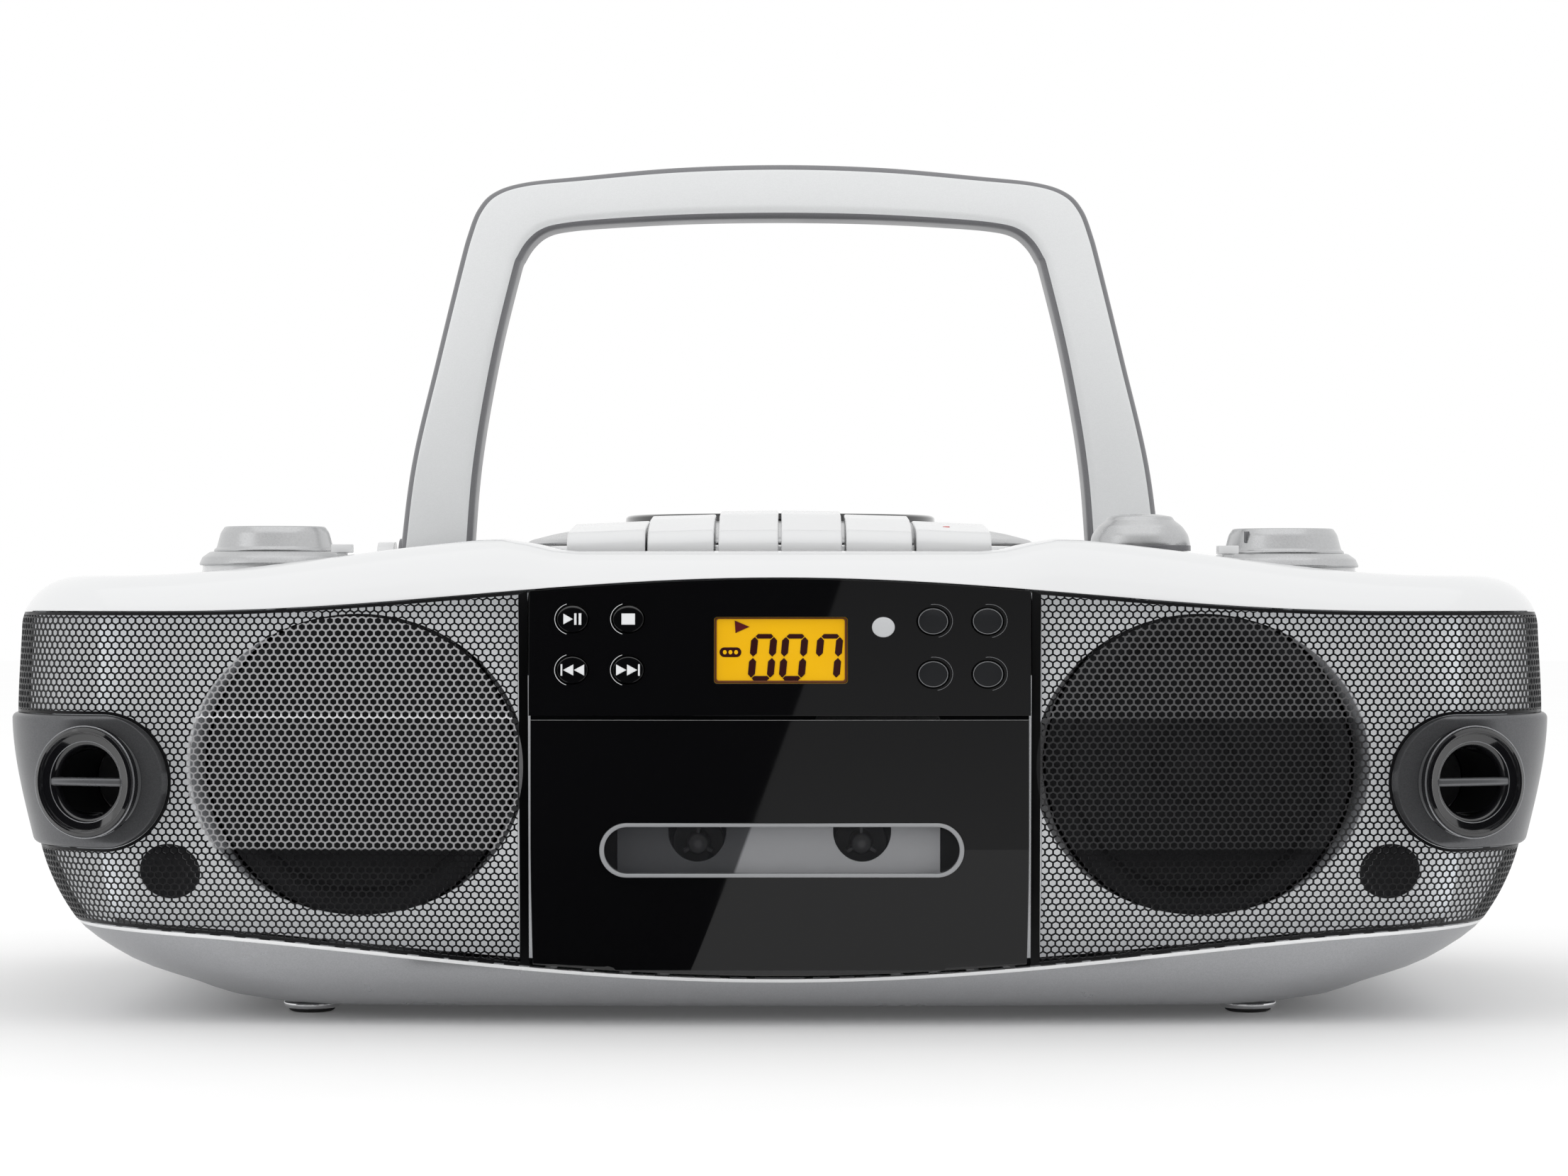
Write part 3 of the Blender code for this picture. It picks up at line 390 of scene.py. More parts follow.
# ---------------------------------------------------------------- mesh helpers
def make_object(name, points, faces, material, smooth_below=35.0):
    """A mesh object from millimetre points, shaded smooth except across edges sharper than an angle."""
    mesh = bpy.data.meshes.new(name)
    mesh.from_pydata((np.asarray(points, float) * MM).tolist(), [], [list(face) for face in faces])
    obj = bpy.data.objects.new(name, mesh)
    bpy.context.scene.collection.objects.link(obj)
    for item in material if isinstance(material, (list, tuple)) else (material,):
        mesh.materials.append(item)
    shade(obj, smooth_below)
    return obj


def shade(obj, smooth_below=35.0, weld=1e-6):
    bm = bmesh.new()
    bm.from_mesh(obj.data)
    if weld:
        bmesh.ops.remove_doubles(bm, verts=bm.verts, dist=weld)
    limit = math.radians(smooth_below)
    for face in bm.faces:
        face.smooth = True
    for edge in bm.edges:
        edge.smooth = edge.is_manifold and edge.calc_face_angle(0.0) < limit
    bm.to_mesh(obj.data)
    bm.free()


def settle(obj, body="cabinet", stands_for=()):
    """Puts a finished piece on its body, and hides the imported parts that it stands for."""
    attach(obj, body)
    if stands_for:
        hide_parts(*stands_for)
    return obj


def closed_shell(outer, inner, faces):
    """Two matching skins joined round their free edges; degenerate faces are dropped first."""
    kept = []
    for face in faces:
        loop = [v for i, v in enumerate(face) if v != face[i - 1]]
        if len(set(loop)) > 2:
            kept.append(loop)
    edges = {}
    for face in kept:
        for a, b in zip(face, face[1:] + face[:1]):
            edges[(a, b)] = edges.get((a, b), 0) + 1
    count = len(outer)
    rim = [(b, a, a + count, b + count) for a, b in edges if (b, a) not in edges]
    back = [[v + count for v in reversed(face)] for face in kept]
    return np.concatenate((outer, inner)), kept + back + rim


def grid_faces(rows, columns, around=False):
    faces = []
    for row in range(rows - 1):
        for column in range(columns if around else columns - 1):
            after = (column + 1) % columns
            faces.append((row * columns + column, row * columns + after,
                          (row + 1) * columns + after, (row + 1) * columns + column))
    return faces


def lathe(profile, centre=(0.0, 0.0, 0.0), axis=(0, 0, 1), steps=96, closed=False):
    """Points and faces of a profile of (radius, height) turned about an axis."""
    turn = Vector((0, 0, 1)).rotation_difference(Vector(axis)).to_matrix()
    angles = np.linspace(0.0, 2 * math.pi, steps, endpoint=False)
    points = []
    for radius, height in profile:
        for angle in angles:
            spot = turn @ Vector((max(radius, 1e-4) * math.cos(angle), max(radius, 1e-4) * math.sin(angle), height))
            points.append(tuple(spot + Vector(centre)))
    rows = list(profile) + [profile[0]] if closed else profile
    faces = grid_faces(len(rows), steps, True)
    if closed:
        faces = [[v % len(points) for v in face] for face in faces]
    area = sum(r0 * h1 - r1 * h0 for (r0, h0), (r1, h1) in zip(profile, list(profile[1:]) + [profile[0]]))
    if area < 0:
        faces = [face[::-1] for face in faces]
    return points, faces


def rounded(profile, radius, steps=5, keep=()):
    """A profile with each of its corners, except those listed, turned into an arc."""
    result = []
    for index, corner in enumerate(profile):
        if index in (0, len(profile) - 1) or index in keep:
            result.append(corner)
            continue
        here = Vector(corner)
        before, after = Vector(profile[index - 1]) - here, Vector(profile[index + 1]) - here
        reach = min(radius, before.length * 0.45, after.length * 0.45)
        start, end = here + before.normalized() * reach, here + after.normalized() * reach
        for step in range(steps + 1):
            t = step / steps
            result.append(tuple(start * (1 - t) ** 2 + here * 2 * t * (1 - t) + end * t * t))
    return result


def turned(name, profile, material, centre, axis=(0, 0, 1), steps=96, closed=False, smooth_below=35.0):
    points, faces = lathe(profile, centre, axis, steps, closed)
    obj = make_object(name, points, faces, material, smooth_below)
    shade(obj, smooth_below, 2e-7)
    return obj


def box(name, x0, x1, y0, y1, z0, z1, material, round_by=0.0, segments=3):
    points = [(x, y, z) for x in (x0, x1) for y in (y0, y1) for z in (z0, z1)]
    faces = ((0, 1, 3, 2), (4, 6, 7, 5), (0, 4, 5, 1), (2, 3, 7, 6), (0, 2, 6, 4), (1, 5, 7, 3))
    obj = make_object(name, points, faces, material)
    if round_by:
        round_edges(obj, round_by, segments)
    return obj


def prism(name, outline, y0, y1, material):
    """An (x, z) outline pushed through from y0 to y1."""
    count = len(outline)
    points = [(x, y, z) for y in (y0, y1) for x, z in outline]
    area = sum(x0 * z1 - x1 * z0 for (x0, z0), (x1, z1) in zip(outline, list(outline[1:]) + [outline[0]]))
    order = range(count) if area > 0 else range(count - 1, -1, -1)
    front = list(order)
    faces = [front, [v + count for v in reversed(front)]]
    faces += [(b, a, a + count, b + count) for a, b in zip(front, front[1:] + front[:1])]
    return make_object(name, points, faces, material)


def apply_modifiers(obj):
    graph = bpy.context.evaluated_depsgraph_get()
    mesh = bpy.data.meshes.new_from_object(obj.evaluated_get(graph), depsgraph=graph)
    obj.modifiers.clear()
    obj.data = mesh
    return obj


def round_edges(obj, width, segments=3, angle=35.0):
    bevel = obj.modifiers.new("rounding", "BEVEL")
    bevel.width = width * MM
    bevel.segments = segments
    bevel.limit_method = "ANGLE"
    bevel.angle_limit = math.radians(angle)
    bevel.use_clamp_overlap = True
    apply_modifiers(obj)
    shade(obj)


def combine(obj, operation, *others):
    """Applies a Boolean with each of the others, and removes them."""
    for other in others:
        step = obj.modifiers.new(operation.lower(), "BOOLEAN")
        step.operation = operation
        step.solver = "EXACT"
        step.object = other
    apply_modifiers(obj)
    for other in others:
        bpy.data.objects.remove(other)
    return obj


def duplicate(obj, name):
    copy = bpy.data.objects.new(name, obj.data.copy())
    bpy.context.scene.collection.objects.link(copy)
    return copy


def ellipse(x, z, half_x, half_z, steps=72):
    return [(x + half_x * math.cos(a), z + half_z * math.sin(a))
            for a in np.linspace(0.0, 2 * math.pi, steps, endpoint=False)]


def stadium(x0, x1, z0, z1, steps=24):
    radius = (z1 - z0) / 2
    points = []
    for centre, start in ((x1 - radius, -math.pi / 2), (x0 + radius, math.pi / 2)):
        for step in range(steps + 1):
            angle = start + math.pi * step / steps
            points.append((centre + radius * math.cos(angle), (z0 + z1) / 2 + radius * math.sin(angle)))
    return points


def rounded_rectangle(x0, x1, z0, z1, radius, steps=6):
    points = []
    for cx, cz, start in ((x1 - radius, z0 + radius, -90), (x1 - radius, z1 - radius, 0),
                          (x0 + radius, z1 - radius, 90), (x0 + radius, z0 + radius, 180)):
        for step in range(steps + 1):
            angle = math.radians(start + 90 * step / steps)
            points.append((cx + radius * math.cos(angle), cz + radius * math.sin(angle)))
    return points


def edge_outline(x0, x1, low, high, steps=48):
    """A region between two heights, either of which may follow an edge line, in (x, z)."""
    xs = [x0 + (x1 - x0) * step / steps for step in range(steps + 1)]
    return [(x, float(low(x))) for x in xs] + [(x, float(high(x))) for x in reversed(xs)]


# ---------------------------------------------------------------- the closed form and its walls
FRONT_STEPS = 26
CORNER_STEPS = 14
CROWN_STEPS = 12
FORM_HEIGHTS = (3.0, 3.5, 4.2, 5.6, 7.2, 9.0, 11.2, 13.3, 15.4, 18.0, 21.0, 24.0, 26.8, 37.0, 47.3, 64.4, 81.5,
                92.0, 104.0)


def half_outline(width, front, back, corner):
    """The outline at one height, right half, from front middle to rear middle."""
    chains = []
    for depth, bow, lean in ((-front, FRONT_BOW, SLOPE), (back, 0.0, 0.0)):
        side = -1.0 if depth < 0 else 1.0
        edge = width - corner * (1.0 - math.sin(lean))
        chain = [(edge * i / FRONT_STEPS, depth + bow * (edge * i / FRONT_STEPS / BOW_AT) ** 2)
                 for i in range(FRONT_STEPS)]
        centre_y = depth + bow * (edge / BOW_AT) ** 2 - side * corner * math.cos(lean)
        for i in range(CORNER_STEPS + 1):
            angle = (math.pi / 2 - lean) * (1.0 - i / CORNER_STEPS)
            chain.append((width - corner + corner * math.cos(angle), centre_y + side * corner * math.sin(angle)))
        chains.append(chain)
    middle = (width, (chains[0][-1][1] + chains[1][-1][1]) / 2)
    return chains[0] + [middle] + chains[1][::-1]


def form(name, inset):
    """The cabinet's closed form, drawn in by a wall's thickness."""
    def ring(height, drawn):
        level = [float(monotone_table(LEVELS[:, k], np.array([height]))[0]) for k in (1, 2, 3, 4)]
        half = half_outline(level[0] - drawn, level[1] - drawn, level[2] - drawn, max(level[3] - drawn, 12.0))
        return half + [(-x, y) for x, y in half[-2:0:-1]]

    rings = []
    for height in FORM_HEIGHTS:
        lift = inset * min(max((26.8 - height) / 20.0, 0.0), 1.0)
        rings.append([(x, y, height + lift) for x, y in ring(height, inset)])
    for step in range(1, CROWN_STEPS + 1):
        angle = math.pi / 2 * step / CROWN_STEPS
        spots = ring(SHOULDER_Z, inset + CROWN_INSET * (1.0 - math.cos(angle)))
        rings.append([(x, y, SHOULDER_Z + (float(deck_height(x)) - inset - SHOULDER_Z) * math.sin(angle))
                      for x, y in spots])
    count = len(rings[0])
    faces = grid_faces(len(rings), count, True)
    faces.append(list(range(count))[::-1])
    top, half = (len(rings) - 1) * count, count // 2
    for i in range(-(half // 2), half // 2):
        loop = [top + v % count for v in (i, i + 1, half - i - 1, half - i)]
        faces.append([v for k, v in enumerate(loop) if v not in loop[:k]])
    return make_object(name, [spot for row in rings for spot in row], faces, WHITE)


def wall(name, outer, thickness, region, material):
    """A wall of the form between two insets, kept where the region is."""
    obj = form(name, outer)
    obj.data.materials[0] = material
    combine(obj, "INTERSECT", region)
    combine(obj, "DIFFERENCE", form("inner form", outer + thickness))
    return obj


def borrow_normals(obj):
    """Takes the outer faces' normals from the uncut form, so that cut faces shade as smoothly as it does."""
    whole = form("uncut form", 0.0)
    shade(whole, 28.0)
    transfer = obj.modifiers.new("normals", "DATA_TRANSFER")
    transfer.object = whole
    transfer.use_loop_data = True
    transfer.data_types_loops = {"CUSTOM_NORMAL"}
    transfer.loop_mapping = "POLYINTERP_NEAREST"
    transfer.use_max_distance = True
    transfer.max_distance = 0.04 * MM
    apply_modifiers(obj)
    bpy.data.objects.remove(whole)


def true_front_normals(obj):
    """Gives the front faces the exact normals of the bowed form, so that long reflections stay straight."""
    mesh = obj.data
    normals = [tuple(corner.vector) for corner in mesh.corner_normals]
    for polygon in mesh.polygons:
        if polygon.normal.y > -0.80 or polygon.center.y > -0.11:
            continue
        lean = 0.0 if polygon.center.z > FOLDS[0] * MM else -(LEVELS[5, 2] - LEVELS[4, 2]) / (LEVELS[5, 0] - LEVELS[4, 0])
        for loop in polygon.loop_indices:
            x = mesh.vertices[mesh.loops[loop].vertex_index].co.x / MM
            normals[loop] = tuple(Vector((2 * FRONT_BOW * x / BOW_AT ** 2, -1.0, lean)).normalized())
    mesh.normals_split_custom_set(normals)


def on_front(x, z, lift=0.0):
    """A point on the front surface, standing proud by a lift."""
    return surface(np.asarray(x, float), np.asarray(z, float), -lift)


# ---------------------------------------------------------------- cabinet shells
GAP = 0.12
SEAM = 0.35


def regions():
    """Top, bottom and rear parts of the form, as closed blocks."""
    top = prism("top region", edge_outline(-215, 215, upper_edge, lambda x: 160.0, 64), -200, GRILLE_END_Y, WHITE)
    rear = prism("top rear region", [(-215, REAR_PARTING_Z), (215, REAR_PARTING_Z), (215, 160), (-215, 160)],
                 GRILLE_END_Y - 0.5, 200, WHITE)
    combine(top, "UNION", rear)
    bottom = prism("bottom region", edge_outline(-215, 215, lambda x: -5.0, lower_edge, 64), -200, 200, SILVER)
    back = prism("rear region", edge_outline(-215, 215, lambda x: lower_edge(x) + SEAM,
                                             lambda x: REAR_PARTING_Z - SEAM, 64), GRILLE_END_Y + 0.3, 200, BLACK)
    return top, bottom, back


def rear_step(inset):
    return box("rear step", -230, 230, REAR_STEP_Y - inset, 160, REAR_DECK_Z - inset, 170, WHITE)


def cd_drum(inset):
    points, faces = lathe([(0.0, DRUM_Z - inset), (DRUM_R - inset - 1.2, DRUM_Z - inset),
                           (DRUM_R - inset - 0.3, DRUM_Z - inset - 0.4), (DRUM_R - inset, DRUM_Z - inset - 1.3),
                           (DRUM_R - inset, 100.0), (0.0, 100.0)], (0, DRUM_Y, 0), steps=128)
    return make_object("drum", points, faces, WHITE)


def cylinder(name, start, end, radius, material, steps=64):
    axis = Vector(end) - Vector(start)
    points, faces = lathe([(0.0, axis.length), (radius, axis.length), (radius, 0.0), (0.0, 0.0)], start, axis, steps)
    return make_object(name, points, faces, material)


KNOBS = {"function_knob": (-136.0, -72.0, 124.2), "tuning_knob": (135.5, -72.0, 123.6)}
VOLUME = (97.0, -72.0, 124.6)
SLIDES = {"band_switch": (-115.8, -90.5), "bass_switch": (118.5, -90.5)}
KEY_SLOT = (-57.4, 57.4, -103.4, -58.3)
HANDLE_Y = 5.0
HANDLE_Z = 120.0
LUG_X = (111.2, 116.0)


def top_cabinet(region):
    """The gloss white shell: crowned deck, CD drum, knob seats, handle lugs and the slot of the piano keys."""
    top = form("top_shell", 0.0)
    combine(top, "DIFFERENCE", rear_step(0.0))
    extras = [cd_drum(0.0)]
    for name, (x, y, z) in KNOBS.items():
        points, faces = lathe([(0.0, z - 0.5), (18.4, z - 0.5), (18.9, z - 0.9), (19.2, z - 1.6), (20.6, 100.0),
                               (0.0, 100.0)], (x, y, 0))
        extras.append(make_object(f"{name} seat", points, faces, WHITE))
    for side in (-1, 1):
        near, far = sorted((side * LUG_X[0], side * LUG_X[1]))
        extras.append(box(f"handle lug {side}", near, far, HANDLE_Y - 8, HANDLE_Y + 8, 109, 120, WHITE))
        extras.append(cylinder(f"lug head {side}", (near, HANDLE_Y, HANDLE_Z), (far, HANDLE_Y, HANDLE_Z), 8.0, WHITE))
        extras.append(cylinder(f"lug pin {side}", (side * 101, HANDLE_Y, HANDLE_Z),
                               (side * LUG_X[1], HANDLE_Y, HANDLE_Z), 4.0, WHITE, 32))
        extras.append(box(f"lid lug {side}", *sorted((side * 20.0, side * 24.0)), 95.0, 100.6, 124, 131.6, WHITE, 0.5))
    combine(top, "UNION", *extras)
    hollow = form("hollow", WALL)
    combine(hollow, "DIFFERENCE", rear_step(WALL))
    combine(hollow, "UNION", cd_drum(WALL))
    combine(top, "DIFFERENCE", hollow)
    combine(top, "INTERSECT", region)
    x0, x1, y0, y1 = KEY_SLOT
    cutters = [box("key slot", x0, x1, y0, y1, 100, 160, WHITE),
               cylinder("CD opening", (0, DRUM_Y, 118), (0, DRUM_Y, 135), 66.0, WHITE, 128),
               cylinder("volume recess", (VOLUME[0], VOLUME[1], VOLUME[2] - 0.5), (VOLUME[0], VOLUME[1], 160), 15.0,
                        WHITE)]
    for x, y, _ in (*KNOBS.values(), VOLUME):
        cutters.append(cylinder("shaft hole", (x, y, 100), (x, y, 140), 3.4, WHITE, 24))
    for x, y in SLIDES.values():
        cutters.append(box("slide slot", x - 1.6, x + 1.6, y - 5.0, y + 5.0, 100, 140, WHITE))
    combine(top, "DIFFERENCE", *cutters)
    shade(top, 28.0)
    return settle(top, "cabinet", ("top_cabinet",))


LIP = 1.0


def bottom_cabinet(region):
    """The silver tray, with vent slots and screw wells underneath."""
    def lip_region():
        return prism("lip region", edge_outline(-200, 200, lambda x: lower_edge(x) - LIP, lower_edge, 64), -200,
                     GRILLE_END_Y, EDGE_HIGHLIGHT_SILVER)

    # A thin strip along the shell's top edge in near-white silver, as a painted highlight line.
    lip = wall("tray_lip_painted_highlight", 0.0, WALL, lip_region(), EDGE_HIGHLIGHT_SILVER)
    shade(lip, 28.0)
    round_edges(lip, 0.25, 2, 50.0)
    settle(lip, "cabinet")
    combine(region, "DIFFERENCE", lip_region())
    bottom = wall("bottom_shell", 0.0, WALL, region, SILVER)
    cutters = []
    for step in range(13):
        x = -66.0 + 11.0 * step
        cutters.append(prism_z(f"vent {step}", stadium_xy(x - 1.8, x + 1.8, -22.0, 30.0), 0, 8, SILVER))
    for x, y in ((-95, -45), (95, -45), (-95, 50), (95, 50), (0, 58)):
        cutters.append(cylinder("screw well", (x, y, 1.0), (x, y, 4.6), 4.2, SILVER, 32))
    combine(bottom, "DIFFERENCE", *cutters)
    shade(bottom, 28.0)
    borrow_normals(bottom)
    return settle(bottom, "cabinet", ("bottom_cabinet",))


def stadium_xy(x0, x1, y0, y1):
    return [(x, y) for y, x in stadium(y0, y1, x0, x1, 10)]


def prism_z(name, outline, z0, z1, material):
    """An (x, y) outline pushed up from z0 to z1."""
    obj = prism(name, [(x, y) for x, y in outline], z0, z1, material)
    for vertex in obj.data.vertices:
        x, y, z = vertex.co
        vertex.co = (x, z, y)
    bm = bmesh.new()
    bm.from_mesh(obj.data)
    bmesh.ops.recalc_face_normals(bm, faces=bm.faces)
    bm.to_mesh(obj.data)
    bm.free()
    return obj


BATTERY = (-98.0, 98.0, 31.0, 84.0)
INLET = (-140.0, 40.0)
ANTENNA = (155.0, 116.9, 98.0)


def rear_cabinet(region):
    """The black back, with cooling slots, sunk screws and the battery bay."""
    rear = wall("rear_shell", 0.0, WALL, region, BLACK)
    x0, x1, z0, z1 = BATTERY
    combine(rear, "UNION", box("bay walls", x0 - 2, x1 + 2, 74, 112, z0 - 2, z1 + 2, BLACK))
    x, z = INLET
    ax, _, az = ANTENNA
    cutters = [box("bay room", x0, x1, 76, 130, z0, z1, BLACK),
               box("door seat", x0 - 5, x1 + 5, 110.0, 130, z0 - 3, z1 + 3, BLACK),
               box("inlet hole", x - 12, x + 12, 100, 130, z - 8, z + 8, BLACK),
               cylinder("antenna hole", (ax, 90, az), (ax, 130, az), 3.4, BLACK, 32)]
    for side in (-1, 1):
        for step in range(9):
            sx = side * 150.0 - 24.0 + 6.0 * step
            cutters.append(prism(f"back vent {side} {step}", rounded_rectangle(sx - 1.1, sx + 1.1, 56, 82, 1.05, 4),
                                 100, 130, BLACK))
    for sx, sz in ((-125, 92), (125, 92), (0, 95), (-170, 34), (170, 34)):
        cutters.append(cylinder("screw well", (sx, 111.4, sz), (sx, 130, sz), 4.0, BLACK, 32))
    combine(rear, "DIFFERENCE", *cutters)
    shade(rear, 28.0)
    settle(rear, "cabinet", ("rear_cabinet",))
    for sx, sz in ((-125, 92), (125, 92), (0, 95), (-170, 34), (170, 34)):
        screw(f"back_screw_{sx}_{sz}", (sx, 111.3, sz), (0, 1, 0))


def screw(name, centre, axis):
    """A cross-headed screw seen at the bottom of its well."""
    head = turned(name, [(0.0, 1.5), (1.4, 1.45), (2.6, 1.0), (3.0, 0.2), (3.0, 0.0), (0.0, 0.0)], STEEL, centre,
                  axis, 32)
    across = Vector(centre) + Vector(axis) * 1.6
    cross = []
    for wide, tall in ((3.4, 0.7), (0.7, 3.4)):
        if axis[1]:
            cross.append(box("cross", across.x - wide / 2, across.x + wide / 2, across.y - 0.9, across.y + 1,
                             across.z - tall / 2, across.z + tall / 2, STEEL))
        else:
            cross.append(box("cross", across.x - wide / 2, across.x + wide / 2, across.y - tall / 2,
                             across.y + tall / 2, across.z - 1, across.z + 0.9, STEEL))
    combine(head, "DIFFERENCE", *cross)
    shade(head, 28.0)
    return settle(head, "cabinet")


top_region, bottom_region, rear_region = regions()
top_cabinet(top_region)
bottom_cabinet(bottom_region)
rear_cabinet(rear_region)


# ---------------------------------------------------------------- perforated grilles
HOLE_PITCH = 2.09
ROW_PITCH = 1.61
HOLE_SHARE = 0.78
SHEET_T = 0.7
GRILLE_INNER_X = 65.2
PANEL_MARGIN = 2.3
EDGE_MARGIN = 0.8
TRIM_Z = (46.9, 81.7)
TRIM_END_X = 158.9
TRIM_R = (TRIM_Z[1] - TRIM_Z[0]) / 2
TRIM_MIDDLE = (TRIM_END_X + TRIM_R, (TRIM_Z[0] + TRIM_Z[1]) / 2)


def seen_x(u, z):
    return np.abs(surface(u, z)[..., 0])


def grille_low(u, margin):
    return lower_edge(seen_x(u, np.full_like(u, 24.0))) + SEAM + margin


def grille_high(u, margin):
    return upper_edge(seen_x(u, np.full_like(u, 110.0))) - SEAM - margin


def into_region(u, z, margin, panel_margin):
    """Moves any point outside the grille's region onto the region's edge."""
    z = np.clip(z, grille_low(u, margin), grille_high(u, margin))
    u = np.clip(u, GRILLE_INNER_X + panel_margin, side_end(z) - margin)
    radius = TRIM_R + GAP + margin
    middle_u, middle_z = TRIM_MIDDLE
    du, dz = u - middle_u, z - middle_z
    distance = np.hypot(du, dz)
    round_end = (du < 0) & (distance < radius)
    scale = np.where(round_end, radius / np.maximum(distance, 1e-6), 1.0)
    straight = (du >= 0) & (np.abs(dz) < radius)
    z = np.where(straight, middle_z + np.where(dz < 0, -radius, radius), middle_z + dz * scale)
    return middle_u + du * scale, z


def region_loop(margin, panel_margin):
    """The edge of the grille's region as one loop of (u, z), with the same count of points at any margin."""
    inner = GRILLE_INNER_X + panel_margin
    radius = TRIM_R + GAP + margin
    middle_u, middle_z = TRIM_MIDDLE

    def end(z):
        return side_end(np.asarray(z, float)) - margin

    top_z = float(grille_high(np.array([260.0]), margin)[0])
    low_z = float(grille_low(np.array([250.0]), margin)[0])
    low_u = np.linspace(inner, float(end(low_z)), 140)
    side_low = np.linspace(low_z, middle_z - radius, 24)[1:]
    cut_low = np.linspace(float(end(middle_z - radius)), middle_u, 60)[1:]
    arc = np.linspace(-math.pi / 2, -3 * math.pi / 2, 48)[1:]
    cut_high = np.linspace(middle_u, float(end(middle_z + radius)), 60)[1:]
    side_high = np.linspace(middle_z + radius, top_z, 24)[1:]
    high_u = np.linspace(float(end(top_z)), inner, 140)[1:]
    u = np.concatenate((low_u, end(side_low), cut_low, middle_u + radius * np.cos(arc), cut_high, end(side_high),
                        high_u))
    z = np.concatenate((grille_low(low_u, margin), side_low, np.full(59, middle_z - radius),
                        middle_z + radius * np.sin(arc), np.full(59, middle_z + radius), side_high,
                        grille_high(high_u, margin)))
    return u, z


def grille(side, name):
    """Sheet metal with six-sided holes, punched right up to its edges, and a plain rim."""
    rows = np.arange(8.0, 120.0, ROW_PITCH)
    columns = np.arange(GRILLE_INNER_X, 300.0, HOLE_PITCH)
    u0, z0 = np.meshgrid(columns, rows)
    u0 = u0 + np.where(np.arange(len(rows)) % 2, HOLE_PITCH / 2, 0.0)[:, None]
    u0, z0 = u0.ravel(), z0.ravel()
    moved_u, moved_z = into_region(u0, z0, EDGE_MARGIN, PANEL_MARGIN)
    near = np.hypot(moved_u - u0, moved_z - z0) < HOLE_PITCH * 0.62
    u0, z0 = u0[near], z0[near]
    cell = np.array(((0.0, 2 / 3), (-0.5, 1 / 3), (-0.5, -1 / 3), (0.0, -2 / 3), (0.5, -1 / 3), (0.5, 1 / 3)))
    cell = cell * (HOLE_PITCH, ROW_PITCH)
    points = []
    for share in (1.0, HOLE_SHARE):
        u = u0[:, None] + share * cell[:, 0]
        z = z0[:, None] + share * cell[:, 1]
        points.append(np.stack(into_region(u, z, EDGE_MARGIN, PANEL_MARGIN), axis=-1))
    points = np.concatenate(points, axis=1).reshape(-1, 2)
    keys, index = np.unique(np.round(points, 3), axis=0, return_inverse=True)
    index = index.reshape(-1, 12)
    faces = []
    for k in range(6):
        after = (k + 1) % 6
        faces += index[:, (k, after, 6 + after, 6 + k)].tolist()
    rim_outer = np.stack(region_loop(0.0, 0.0), axis=-1)
    rim_inner = np.stack(region_loop(EDGE_MARGIN, PANEL_MARGIN), axis=-1)
    count = len(rim_outer)
    start = len(keys)
    keys = np.concatenate((keys, rim_outer, rim_inner))
    faces += [[start + i, start + (i + 1) % count, start + count + (i + 1) % count, start + count + i]
              for i in range(count)]
    front = surface(keys[:, 0], keys[:, 1], 0.05)
    back = surface(keys[:, 0], keys[:, 1], 0.05 + SHEET_T)
    points, faces = closed_shell(front, back, faces)
    points = points * (side, 1.0, 1.0)
    if side < 0:
        faces = [list(face)[::-1] for face in faces]
    mesh = bpy.data.meshes.new(name)
    mesh.from_pydata((points * MM).tolist(), [], faces)
    mesh.materials.append(GRILLE)
    obj = bpy.data.objects.new(name, mesh)
    bpy.context.scene.collection.objects.link(obj)
    return settle(obj, "cabinet", (name.replace("_perforated", ""),))


# ---------------------------------------------------------------- baffle, speakers and ports
BAFFLE_INSET = 9.0
SPEAKER = (110.2, -96.5, 68.5)
SPEAKER_HALF = (44.3, 39.5)
SMALL_HOLE = (160.0, 40.4, 8.25, 7.35)
PORT_X = 180.0
PORT_Z = 64.3
PORT_YAW = math.radians(20.0)
PORT_FACE_Y = -109.2
TRIM_PROUD = 1.5


def port_line(side, depth):
    return Vector((side * (PORT_X - depth * math.sin(PORT_YAW)), PORT_FACE_Y + depth * math.cos(PORT_YAW), PORT_Z))


